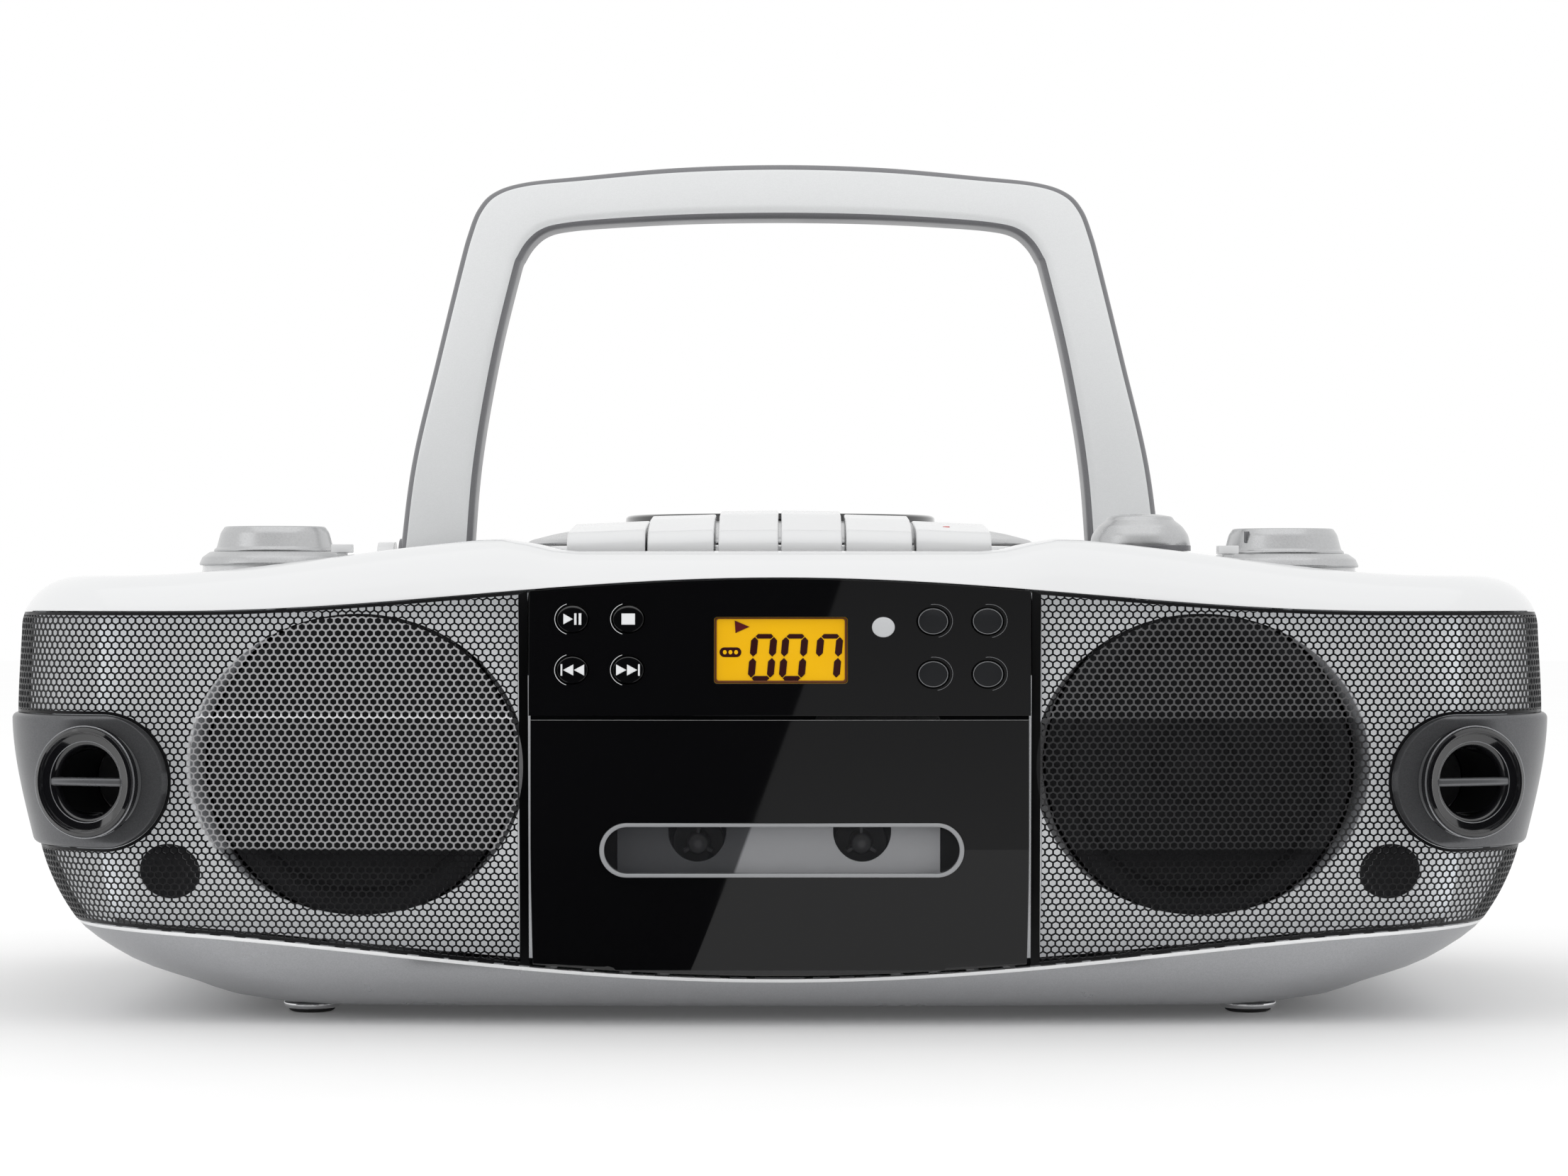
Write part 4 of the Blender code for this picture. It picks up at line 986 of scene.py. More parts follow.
def baffle():
    """The silver board that shows through the holes. Its glow is painted light, standing in for studio light falling
    on it.
    """
    region = prism("baffle region", edge_outline(-200, 200, lambda x: lower_edge(x) + 0.8,
                                                 lambda x: upper_edge(x) - 0.8), -200, -62, SILVER_BAFFLE_PAINTED_GLOW)
    board = wall("front_board", BAFFLE_INSET, 2.0, region, SILVER_BAFFLE_PAINTED_GLOW)
    combine(board, "DIFFERENCE", box("key room", -60.0, 60.0, -130.0, -40.0, 111.0, 150.0, BLACK))
    cutters = [box("cassette opening", -64.9, 64.9, -140, -70, 0, 82.4, SILVER_BAFFLE_PAINTED_GLOW)]
    for side in (-1, 1):
        cutters.append(prism("speaker hole", ellipse(side * SPEAKER[0], SPEAKER[2], *SPEAKER_HALF, 96), -140, -80,
                             SILVER_BAFFLE_PAINTED_GLOW))
        x, z, half_x, half_z = SMALL_HOLE
        cutters.append(prism("small hole", ellipse(side * x, z, half_x, half_z), -140, -80, SILVER_BAFFLE_PAINTED_GLOW))
        cutters.append(cylinder("port clearance", port_line(side, -20), port_line(side, 40), 13.4, SILVER_BAFFLE_PAINTED_GLOW))
    combine(board, "DIFFERENCE", *cutters)
    shade(board, 28.0)
    # The middle, seen only through the gaps round the panel and door, is black as painted shade in those gaps.
    board.data.materials.append(BLACK)
    for polygon in board.data.polygons:
        polygon.material_index = int(abs(polygon.center.x) < 63.0 * MM)
    settle(board, "cabinet", ("front_baffle",))
    for side in (-1, 1):
        x, z, half_x, half_z = SMALL_HOLE
        # A dark disc behind each small hole, as painted shade inside the hole.
        cap = make_object(f"small_hole_shade_disc_{side}", [(side * x + dx, -96.5, z + dz) for dx, dz in
                                                      ellipse(0, 0, half_x + 1.5, half_z + 1.5, 32)],
                          [list(range(32))[::1 if side else -1]], CONE)
        thick = cap.modifiers.new("disc_thickness", "SOLIDIFY")
        thick.thickness = 1.0 * MM
        apply_modifiers(cap)
        shade(cap)
        settle(cap, "cabinet")


def speaker(side, name):
    x, y, z = SPEAKER
    centre = (side * x, y, z)
    frame_profile = [(41.0, 0.0), (45.0, 0.0), (45.0, -2.0), (38.0, -6.0), (26.0, -22.0), (26.0, -26.0),
                     (24.0, -26.0), (24.0, -42.0), (5.0, -42.0), (5.0, -24.0), (22.5, -24.0), (24.0, -20.0),
                     (36.5, -5.4), (41.0, -2.8)]
    basket = turned(f"{name}_speaker_basket", frame_profile, STEEL, centre, (0, -1, 0), 96, closed=True)
    settle(basket, "cabinet", (f"{name}_speaker_frame",))
    ribs = [(33.0 - 1.1 * step, -3.0 - 0.52 * step + (0.25 if step % 2 else 0.0)) for step in range(20)]
    cone_profile = ([(0.0, -9.0), (3.0, -9.3), (6.0, -10.2), (9.0, -12.0), (11.0, -13.5)] + ribs[::-1]
                    + [(34.0, -1.4), (35.2, -0.5), (36.5, -0.2), (37.8, -0.5), (39.0, -1.1), (40.2, -1.2),
                       (40.2, -2.2), (36.5, -1.6), (33.5, -4.6), (11.5, -16.0), (0.0, -16.0)])
    cone = turned(f"{name}_speaker_paper", cone_profile, CONE, centre, (0, -1, 0), 96)
    settle(cone, "cabinet", (f"{name}_speaker_cone",))


def port_trim(side, name):
    """The dark bezel that wraps the corner round a reflex port."""
    points_uz, rows, columns = [], 40, 60
    outline_z = np.linspace(0.0, 1.0, rows)
    front, back = [], []
    soften = 1.6
    for inset, store, shrink in ((-TRIM_PROUD, front, 0.0), (TRIM_PROUD, back, 0.0)):
        for t in outline_z:
            angle = math.pi * (t - 0.5)
            z = TRIM_MIDDLE[1] + TRIM_R * math.sin(angle)
            start = TRIM_MIDDLE[0] - TRIM_R * math.cos(angle)
            end = float(side_end(np.array(z)))
            u = np.linspace(start, end, columns)
            edge = np.minimum(u - start, (TRIM_R - abs(z - TRIM_MIDDLE[1])) + 0.0 * u)
            fall = soften * (1.0 - np.sqrt(1.0 - (1.0 - np.clip(edge / soften, 0.0, 1.0)) ** 2)) if inset < 0 else 0.0
            store.extend(surface(u, np.full(columns, z), 0.0) + (surface(u, np.full(columns, z), -1.0)
                         - surface(u, np.full(columns, z), 0.0)) * (-inset - np.asarray(fall))[..., None])
    faces = grid_faces(rows, columns)
    points, faces = closed_shell(np.array(front), np.array(back), faces)
    points = points * (side, 1.0, 1.0)
    if side < 0:
        faces = [list(face)[::-1] for face in faces]
    trim = make_object(f"{name}_port_bezel", points, faces, TRIM, 40.0)
    combine(trim, "DIFFERENCE", cylinder("port hole", port_line(side, -20), port_line(side, 20), 14.6, TRIM, 96))
    shade(trim, 40.0)
    settle(trim, "cabinet", (f"{name}_port_trim",))


def port_tube(side, name):
    """Glossy ring, flared throat and the thin bar across it."""
    axis = port_line(side, -1) - port_line(side, 0)
    flare = [(10.5 + 1.7 * math.cos(a), -2.6 + 3.2 * math.sin(a)) for a in np.linspace(math.pi, math.pi / 2, 8)]
    ring = [(14.5, 0.9), (14.1, 2.0), (13.3, 2.4), (12.9, 2.2), (12.5, 1.2)]
    profile = [(14.5, -1.0)] + ring + flare[::-1] + [(9.0, -12.0), (9.6, -24.0), (12.2, -24.0), (12.2, -1.0)]
    tube = turned(f"{name}_reflex_port", profile, PORT_GLOSS, port_line(side, 0), axis, 96, closed=True)
    settle(tube, "cabinet", (f"{name}_port_tube",))
    rims = []
    for radius, height, half in ((14.45, 1.35, 0.28), (10.6, 0.55, 0.16)):
        loop = [(radius + half * math.cos(a), height + half * math.sin(a))
                for a in np.linspace(0, 2 * math.pi, 10, endpoint=False)]
        rims.append(turned(f"{name}_port_rim_{len(rims)}", loop, TRIM_EDGE, port_line(side, 0), axis, 96, closed=True))
        settle(rims[-1], "cabinet")
    bar = box(f"{name}_port_bar", -10.6, 10.6, -1.6, 2.2, -1.1, 1.1, PORT_BAR, 0.8)
    turn = Matrix.Rotation(side * PORT_YAW, 3, "Z")
    for vertex in bar.data.vertices:
        vertex.co = turn @ vertex.co + port_line(side, 0.6) * MM
    settle(bar, "cabinet")
    plug = turned(f"{name}_port_throat", [(0.0, -22.0), (9.2, -22.0), (9.2, -23.0), (0.0, -23.0)], CONE,
                  port_line(side, 0), axis, 48)
    settle(plug, "cabinet")


baffle()
for side, name in ((-1, "left"), (1, "right")):
    grille(side, f"{name}_grille_perforated")
    speaker(side, name)
    port_trim(side, name)
    port_tube(side, name)


# ---------------------------------------------------------------- control panel and display
PANEL_X = 64.7
PANEL_BOTTOM = 81.8
PANEL_T = 2.2
LCD = (-16.9, 17.5, 90.1, 107.2)
SENSOR = (26.7, 104.6, 2.95, 2.6)
LEFT_BUTTONS = {"play_pause_button": (-53.4, 106.7), "stop_button": (-39.0, 106.7),
                "skip_back_button": (-53.4, 93.6), "skip_forward_button": (-39.0, 93.6)}
RIGHT_BUTTONS = {"usb_button": (39.5, 106.1), "repeat_button": (53.6, 106.1),
                 "program_button": (39.5, 92.5), "sleep_button": (53.6, 92.5)}
BUTTON_HALF = (3.95, 3.4)
BUTTON_CLEAR = 0.5


def decal(name, outline, outer, inner, material, body="cabinet"):
    """A thin inlay of an (x, z) outline on the front surface, between two insets."""
    x, z = np.array(outline, float).T
    area = float(np.sum(x * np.roll(z, -1) - np.roll(x, -1) * z))
    if area < 0:
        x, z = x[::-1], z[::-1]
    points, faces = closed_shell(surface(x, z, outer), surface(x, z, inner), [list(range(len(x)))])
    obj = make_object(name, points, faces, material)
    return settle(obj, body)


def ring_decal(name, centre, half, width, start, end, inset, material, body="cabinet"):
    """Part of a thin printed oval, from one angle to another, in degrees."""
    angles = np.radians(np.linspace(start, end, 60))
    (cx, cz), (hx, hz) = centre, half
    outer = [(cx + (hx + width / 2) * math.cos(a), cz + (hz + width / 2) * math.sin(a)) for a in angles]
    inner = [(cx + (hx - width / 2) * math.cos(a), cz + (hz - width / 2) * math.sin(a)) for a in angles]
    x, z = np.array(outer + inner[::-1]).T
    count = len(angles)
    faces = [[i, i + 1, 2 * count - 2 - i, 2 * count - 1 - i] for i in range(count - 1)]
    points, faces = closed_shell(surface(x, z, inset), surface(x, z, inset + 0.15), [f[::-1] for f in faces])
    return settle(make_object(name, points, faces, material), body)


def control_panel():
    region = prism("panel region", edge_outline(-PANEL_X, PANEL_X, lambda x: PANEL_BOTTOM,
                                                lambda x: upper_edge(x) - SEAM, 64), -200, -70, GLOSS)
    panel = wall("gloss_panel", 0.0, PANEL_T, region, GLOSS)
    x0, x1, z0, z1 = LCD
    cutters = [prism("display window", rounded_rectangle(x0, x1, z0, z1, 0.8), -140, -90, GLOSS)]
    combine(panel, "DIFFERENCE", *cutters)
    shade(panel, 28.0)
    round_edges(panel, 0.15, 3, 40.0)
    cutters = []
    for x, z in [*LEFT_BUTTONS.values(), *RIGHT_BUTTONS.values()]:
        half = [size + BUTTON_CLEAR * 0.6 for size in BUTTON_HALF]
        cutters.append(prism("button hole", ellipse(x, z, *half), -140, -90, GLOSS))
    x, z, half_x, half_z = SENSOR
    cutters.append(prism("sensor hole", ellipse(x, z, half_x + GAP, half_z + GAP), -140, -90, GLOSS))
    combine(panel, "DIFFERENCE", *cutters)
    shade(panel, 28.0)
    true_front_normals(panel)
    settle(panel, "cabinet", ("control_panel",))


def segment(name, ends, half, place_digit):
    """One tapered bar of a digit, between two ends given in the digit's own upright axes."""
    (x0, z0), (x1, z1) = ends
    along = Vector((x1 - x0, z1 - z0)).normalized()
    across = Vector((-along.y, along.x)) * half
    start, end = Vector((x0, z0)) + along * 0.16, Vector((x1, z1)) - along * 0.16
    tips = [start, start + along * half + across, end - along * half + across, end,
            end - along * half - across, start + along * half - across]
    decal(name, [place_digit(*tip) for tip in tips], 0.92, 1.0, INK)


def display():
    """An amber panel behind the window, with three slanted digits and two small indicators."""
    x0, x1, z0, z1 = LCD
    face = decal("display_face", rounded_rectangle(x0 - 1.2, x1 + 1.2, z0 - 1.0, z1 + 1.0, 0.8), 1.0, 2.9, AMBER)
    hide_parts("display_module")
    frame_points = rounded_rectangle(x0 + 0.1, x1 - 0.1, z0 + 0.1, z1 - 0.1, 0.8)
    inner = rounded_rectangle(x0 + 0.65, x1 - 0.75, z0 + 0.75, z1 - 0.5, 0.6)
    count = len(frame_points)
    x, z = np.array(frame_points + inner).T
    faces = [[i, (i + 1) % count, count + (i + 1) % count, count + i] for i in range(count)]
    points, faces = closed_shell(surface(x, z, 0.75), surface(x, z, 1.05), faces)
    settle(make_object("display_bezel", points, faces, BEZEL), "cabinet")
    width, height, slant, low = 5.9, 11.5, 0.095, 91.1
    lit = {"0": "abcdef", "7": "abcf"}
    bars = {"a": ((0, 1), (1, 1)), "b": ((1, 1), (1, 0.5)), "c": ((1, 0.5), (1, 0)), "d": ((0, 0), (1, 0)),
            "e": ((0, 0.5), (0, 0)), "f": ((0, 1), (0, 0.5)), "g": ((0, 0.5), (1, 0.5))}
    for digit, (value, left) in enumerate((("0", -7.9), ("0", 0.1), ("7", 9.1))):
        def place_digit(x, z, left=left):
            return left + 0.5 + x + slant * z, low + 0.35 + z
        for bar in lit[value]:
            ends = [(fx * (width - 1.0), fz * (height - 0.7)) for fx, fz in bars[bar]]
            segment(f"digit_{digit}_{bar}", ends, 0.60 if bar in "adg" else 0.90, place_digit)
    decal("play_mark", [(-11.6, 106.3), (-7.8, 104.7), (-11.4, 103.1)], 0.92, 1.0, DARK_RED)
    decal("disc_badge", stadium(-15.5, -9.9, 96.9, 99.4, 12), 0.94, 1.0, INK)
    for step in (-1, 0, 1):
        decal(f"disc_badge_dot_{step + 1}", ellipse(-12.7 + 1.45 * step, 98.15, 0.5, 0.55, 20), 0.88, 0.95, AMBER)




def oval_cap(name, centre, half, heights, material, body, replaced):
    """A domed oval cap: heights are its foot, shoulder and crown above the front surface."""
    foot, shoulder, crown = heights
    rim = rounded([(1.0, foot), (1.0, shoulder - 0.12), (0.92, shoulder), (0.5, shoulder + (crown - shoulder) * 0.75),
                   (0.0, crown)], 0.06, 3)
    points, faces = lathe([(0.0, foot)] + rim, steps=64)
    points = np.array(points)
    x, z = centre[0] + points[:, 0] * half[0], centre[1] + points[:, 1] * half[1]
    placed = np.stack((x, on_front(x, z)[:, 1] - points[:, 2], z), axis=-1)
    obj = make_object(name, placed, faces, material)
    bm = bmesh.new()
    bm.from_mesh(obj.data)
    bmesh.ops.recalc_face_normals(bm, faces=bm.faces)
    bm.to_mesh(obj.data)
    bm.free()
    return settle(obj, body, replaced)


def symbol(name, shapes, centre, body):
    """White marks on a button, each a list of (x, z) about the button's middle."""
    for index, shape in enumerate(shapes):
        outline = [(centre[0] + x, centre[1] + z) for x, z in shape]
        decal(f"{name}_mark_{index}", outline, -0.86, -0.70, SYMBOL, body)


def triangle(x, width, half, way=1):
    return [(x, half), (x + way * width, 0.0), (x, -half)]


def bar(x, width, half):
    return [(x, -half), (x + width, -half), (x + width, half), (x, half)]


def buttons():
    marks = {"play_pause_button": [triangle(-2.35, 2.5, 1.4), bar(0.45, 0.6, 1.5), bar(1.6, 0.7, 1.5)],
             "stop_button": [bar(-1.75, 3.5, 1.45)],
             "skip_back_button": [bar(-3.0, 0.45, 1.5), triangle(0.3, 2.7, 1.45, -1), triangle(3.1, 2.7, 1.45, -1)],
             "skip_forward_button": [triangle(-3.1, 2.7, 1.45), triangle(-0.3, 2.7, 1.45), bar(2.55, 0.5, 1.5)]}
    for name, centre in {**LEFT_BUTTONS, **RIGHT_BUTTONS}.items():
        plain = name in RIGHT_BUTTONS
        oval_cap(f"{name}_cap", centre, BUTTON_HALF, (-5.0, 0.62, 0.80), BUTTON_GREY if plain else GLOSS, name,
                 (name,))
        if plain:
            ring_decal(f"{name}_ring", (centre[0] + 0.3, centre[1] + 0.1), (4.75, 4.3), 0.13, -80, 100, -0.02,
                       RING_PRINT)
            ring_decal(f"{name}_rim", centre, (3.72, 3.2), 0.16, 0, 360, -0.70, RING_PRINT, name)
        else:
            symbol(name, marks[name], centre, name)
            ring_decal(f"{name}_ring", centre, (4.6, 4.1), 0.16, 110, 250, -0.02, SYMBOL)
    x, z, half_x, half_z = SENSOR
    oval_cap("sensor_lens", (x, z), (half_x, half_z), (-4.0, 0.25, 0.55), SENSOR_GREY, "cabinet", ("remote_sensor",))


# ---------------------------------------------------------------- cassette door and deck
DOOR_X = 64.2
DOOR_TOP = 80.7
DOOR_FOOT_GAP = 0.9
WINDOW = (-46.5, 47.6, 40.1, 54.3)
WINDOW_Y = -119.97
HOLDER_X = (53.0, 55.0)
DECK_Y = -97.0
HUB_X = 21.3
HUB_Z = 48.1


def flat_ring(name, outer, inner, y0, y1, material):
    """A flat frame between two matching (x, z) outlines, from y0 to y1."""
    count = len(outer)
    ring = list(outer) + list(inner)
    front = [(x, y0, z) for x, z in ring]
    back = [(x, y1, z) for x, z in ring]
    faces = [[i, (i + 1) % count, count + (i + 1) % count, count + i] for i in range(count)]
    points, faces = closed_shell(np.array(front), np.array(back), faces)
    return make_object(name, points, faces, material)


def cassette_door():
    """The gloss black door, with its flush window, the holder behind it and the plate that shows in the window."""
    region = prism("door region", edge_outline(-DOOR_X, DOOR_X, lambda x: lower_edge(x) + DOOR_FOOT_GAP,
                                               lambda x: DOOR_TOP, 64), -200, -70, GLOSS)
    door = wall("gloss_door", 0.0, PANEL_T, region, GLOSS)
    x0, x1, z0, z1 = WINDOW
    combine(door, "DIFFERENCE", prism("door window", stadium(x0, x1, z0, z1, 32), -140, -90, GLOSS))
    shade(door, 12.0)
    round_edges(door, 0.45, 3, 40.0)
    shade(door, 12.0)
    true_front_normals(door)
    # The top edge's rounding gets near-white silver as a painted highlight line.
    door.data.materials.append(EDGE_HIGHLIGHT_SILVER)
    for polygon in door.data.polygons:
        if polygon.center.z > (DOOR_TOP - 0.5) * MM and polygon.normal.y < -0.1 and polygon.normal.z > 0.1:
            polygon.material_index = 1
    settle(door, "cassette_door", ("cassette_door",))

    outer = stadium(x0 + 0.1, x1 - 0.1, z0 + 0.1, z1 - 0.1, 32)
    middle = stadium(x0 + 1.3, x1 - 1.3, z0 + 1.1, z1 - 1.1, 32)
    rim = flat_ring("window_rim", outer, middle, WINDOW_Y, -114.5, WINDOW_RIM)
    round_edges(rim, 0.35, 3)
    settle(rim, "cassette_door")
    lens = prism("window_lens", middle, WINDOW_Y + 0.35, WINDOW_Y + 1.7, CLEAR)
    settle(lens, "cassette_door", ("cassette_window",))

    plate = box("holder_plate", -42.0, 41.5, -114.6, -113.6, 34.0, 60.0, PLATE)
    cuts = []
    for side in (-1, 1):
        top, radius = 52.9, 7.5
        arc = [(side * HUB_X + radius * math.cos(a), top - 1.0 + 1.06 * radius * math.sin(a))
               for a in np.linspace(math.pi, 2 * math.pi, 33)]
        cuts.append(prism("hub window", arc + [(side * HUB_X + radius, top), (side * HUB_X - radius, top)], -120, -110,
                          PLATE))
    combine(plate, "DIFFERENCE", *cuts)
    shade(plate)
    round_edges(plate, 0.2, 2, 50.0)
    settle(plate, "cassette_door")
    rail = HOLDER_X[1]
    tray = box("cassette_holder", -rail, rail, -117.4, -101.0, 34.2, 70.0, BLACK)
    inside = box("cassette space", -HOLDER_X[0], HOLDER_X[0], -116.6, -90, 36, 80, BLACK)
    combine(tray, "DIFFERENCE", inside, prism("tray window", stadium(x0 - 0.5, x1 + 0.5, z0 - 0.5, z1 + 0.5, 24),
                                              -140, -90, BLACK))
    keep = form("tray limit", 2.0)
    combine(tray, "INTERSECT", keep)
    shade(tray)
    settle(tray, "cassette_door")




def tape_deck():
    """Deck plate with holes for the hubs, capstan and head, the two hubs with their three drive ribs, and the head."""
    plate = box("deck_chassis", -57, 57, DECK_Y, DECK_Y + 1.5, 18, 79, BLACK)
    cuts = [cylinder("hub hole", (side * HUB_X, DECK_Y - 5, HUB_Z), (side * HUB_X, DECK_Y + 5, HUB_Z), 7.4, BLACK)
            for side in (-1, 1)]
    cuts.append(cylinder("capstan hole", (26, DECK_Y - 5, 71), (26, DECK_Y + 5, 71), 2.0, BLACK, 24))
    cuts.append(box("head slot", -5, 5, DECK_Y - 5, DECK_Y + 5, 63, 75, BLACK))
    combine(plate, "DIFFERENCE", *cuts)
    shade(plate)
    settle(plate, "cabinet", ("deck_plate",))
    for body, side in (("supply_spindle", -1), ("takeup_spindle", 1)):
        centre = (side * HUB_X, DECK_Y, HUB_Z)
        profile = rounded([(0.0, 11.0), (1.0, 10.9), (2.5, 9.6), (3.0, 6.0), (3.1, 1.0), (6.6, 0.5), (6.6, -6.0),
                           (2.0, -6.0), (2.0, -9.0), (0.0, -9.0)], 0.35, 3)
        hub = turned(f"{body}_hub", profile, HUB_GREY, centre, (0, -1, 0), 64)
        ribs = []
        for turn in range(3):
            rib = box("rib", -0.5, 0.5, -8.6, -1.0, 2.6, 4.4, HUB_GREY, 0.2)
            spin = Matrix.Rotation(turn * 2 * math.pi / 3, 3, "Y")
            for vertex in rib.data.vertices:
                vertex.co = spin @ vertex.co + Vector(centre) * MM
            ribs.append(rib)
        combine(hub, "UNION", *ribs)
        shade(hub)
        settle(hub, body, (body,))
    head = box("record_head", -6.5, 6.5, -105.0, DECK_Y - GAP, 66, 74, STEEL, 0.8)
    combine(head, "UNION", box("stem", -3, 3, -99, DECK_Y + 4, 67, 73, STEEL))
    combine(head, "DIFFERENCE", box("head gap", -0.25, 0.25, -106, -104.4, 67.5, 72.5, STEEL))
    shade(head)
    settle(head, "tape_head", ("tape_head",))


control_panel()
display()
buttons()
cassette_door()
tape_deck()


# ---------------------------------------------------------------- piano keys
KEYS = {"pause_key": (-55.8, -35.3, 132.6), "stop_eject_key": (-34.7, -17.3, 134.6),
        "fast_forward_key": (-16.1, -0.4, 135.8), "rewind_key": (0.4, 16.3, 135.8),
        "play_key": (17.4, 34.7, 134.6), "record_key": (35.8, 55.5, 132.6)}
KEY_FRONT_Y = -101.4
KEY_BACK_Y = -60.0


def piano_keys():
    """Six white keys: a short upright front, a soft crease, and a top that rises to the rear."""
    for name, (x0, x1, top_z) in KEYS.items():
        side = np.sign(x0 + x1)
        lean = 0.9 * (abs(x0 + x1) / 91.0)
        profile = rounded([(KEY_FRONT_Y, 119.0), (KEY_FRONT_Y, 127.3), (KEY_FRONT_Y + 2.6, 129.7),
                           (KEY_FRONT_Y + 22.0, top_z - 1.3), (KEY_BACK_Y, top_z), (KEY_BACK_Y, 119.0)], 1.6, 5)
        columns = np.linspace(x0, x1, 9)
        points = []
        for x in columns:
            drop = lean * side * (x - (x0 + x1) / 2) / (x1 - x0)
            points += [(x, y, z - (drop if z > 125 else 0.0)) for y, z in profile]
        count = len(profile)
        faces = grid_faces(len(columns), count, True)
        faces = [face[::-1] for face in faces]
        faces += [list(range(count))[::1], [(len(columns) - 1) * count + v for v in range(count)][::-1]]
        key = make_object(f"{name}_cap", points, faces, WHITE_KEY)
        bm = bmesh.new()
        bm.from_mesh(key.data)
        bmesh.ops.recalc_face_normals(bm, faces=bm.faces)
        bm.to_mesh(key.data)
        bm.free()
        round_edges(key, 0.55, 3, 50.0)
        settle(key, name, (name,))
    x, y = 44.3, -84.0
    top = KEYS["record_key"][2]
    slope_z = np.interp(y, (KEY_FRONT_Y + 2.6, KEY_FRONT_Y + 22.0, KEY_BACK_Y), (129.7, top - 1.3, top))
    dot = turned("record_mark", [(0.0, 0.25), (0.9, 0.22), (1.0, 0.1), (1.0, -0.4), (0.0, -0.4)], RED,
                 (x, y, slope_z - 0.05), (0, -0.09, 1), 32)
    settle(dot, "record_key")




# ---------------------------------------------------------------- knobs and slides
def knobs():
    """Two flat knobs with a skirt, a stepped dome for the volume, and two small slides."""
    tall = rounded([(3.0, -18.0), (3.0, 0.0), (16.3, 0.0), (16.3, 0.9), (15.6, 1.3), (14.5, 5.4), (13.4, 7.0),
                    (12.4, 7.1), (11.6, 6.7), (0.0, 6.6)], 0.5, 5)
    for name, centre in KNOBS.items():
        knob = turned(f"{name}_cap", tall, KNOB, centre, steps=144, smooth_below=50.0)
        if name == "function_knob":
            mark = box("mark", -0.45, 0.45, -13.2, -7.5, 6.45, 6.75, SYMBOL, 0.1)
            mark_name, material = "function_pointer", SYMBOL
        else:
            mark = box("mark", -0.35, 0.35, -15.4, -12.6, 3.2, 6.2, DARK_SILVER_AND_SIDE_SHADE, 0.1)
            mark_name, material = "tuning_pointer", DARK_SILVER_AND_SIDE_SHADE
            spin = Matrix.Rotation(math.radians(-48.0), 3, "Z")
            for vertex in mark.data.vertices:
                vertex.co = spin @ vertex.co
        seat = [(16.6, -3.4), (20.0, -3.4), (20.2, -3.0), (19.4, -1.2), (17.4, 0.2), (16.6, 0.3)]
        settle(turned(f"{name}_seat", rounded(seat, 0.3, 3), KNOB, centre, steps=144, smooth_below=50.0, closed=True),
               "cabinet")
        mark.name = mark_name
        for vertex in mark.data.vertices:
            vertex.co = vertex.co + Vector(centre) * MM
        settle(knob, name, (name,))
        settle(mark, name)
    dome = rounded([(3.0, -18.0), (3.0, 0.0), (13.5, 0.0), (13.5, 1.8), (12.9, 4.4), (11.4, 6.6), (9.6, 8.0),
                    (9.2, 8.3), (8.6, 9.3), (5.0, 9.9), (0.0, 10.1)], 0.7, 5)
    settle(turned("volume_knob_cap", dome, KNOB, VOLUME, steps=144, smooth_below=50.0), "volume_knob",
           ("volume_knob",))
    band = [(13.62, 0.1), (13.62, 1.5), (13.3, 1.6), (13.3, 0.1)]
    settle(turned("volume_band", band, DARK_SILVER_AND_SIDE_SHADE, VOLUME, steps=144, closed=True), "volume_knob")
    for name, (x, y) in SLIDES.items():
        deck = float(deck_height(x))
        slide = box(f"{name}_cap", x - 2.7, x + 2.7, y - 2.5, y + 2.5, deck + 1.0, deck + 3.2, WHITE_KEY)
        combine(slide, "UNION", box("stem", x - 1.2, x + 1.2, y - 2.2, y + 2.2, 115.0, deck + 2.0, WHITE_KEY))
        grooves = [box("groove", x - 3.0, x + 3.0, y - 1.6 + 1.3 * step, y - 1.0 + 1.3 * step, deck + 2.9, deck + 4,
                       WHITE_KEY) for step in range(3)]
        combine(slide, "DIFFERENCE", *grooves)
        shade(slide)
        round_edges(slide, 0.25, 2, 50.0)
        settle(slide, name, (name,))




# ---------------------------------------------------------------- carrying handle
HANDLE_OUTER = ((0.0, 236.4), (30.0, 235.5), (58.0, 233.0), (74.0, 231.2), (82.5, 228.3), (87.0, 223.5),
                (89.8, 216.5), (92.4, 207.0), (99.0, 180.0), (106.0, 150.0), (109.8, 120.0))
HANDLE_INNER = ((0.0, 220.8), (26.0, 220.4), (50.0, 219.2), (62.0, 218.1), (67.5, 216.6), (71.2, 213.6),
                (73.8, 209.6), (75.5, 205.0), (81.5, 180.0), (86.6, 150.0), (89.05, 120.0))
HANDLE_HALF_T = 8.95


def through(points, steps=9):
    """A smooth curve through the right half's points, continued over the middle."""
    chain = [Vector((-points[1][0], points[1][1]))] + [Vector(p) for p in points]
    chain.append(chain[-1] * 2 - chain[-2])
    curve = []
    for i in range(1, len(chain) - 2):
        a, b, c, d = chain[i - 1:i + 3]
        for step in range(steps):
            t = step / steps
            curve.append(0.5 * (2 * b + (c - a) * t + (2 * a - 5 * b + 4 * c - d) * t ** 2
                                + (3 * b - a - 3 * c + d) * t ** 3))
    curve.append(chain[-2])
    return curve


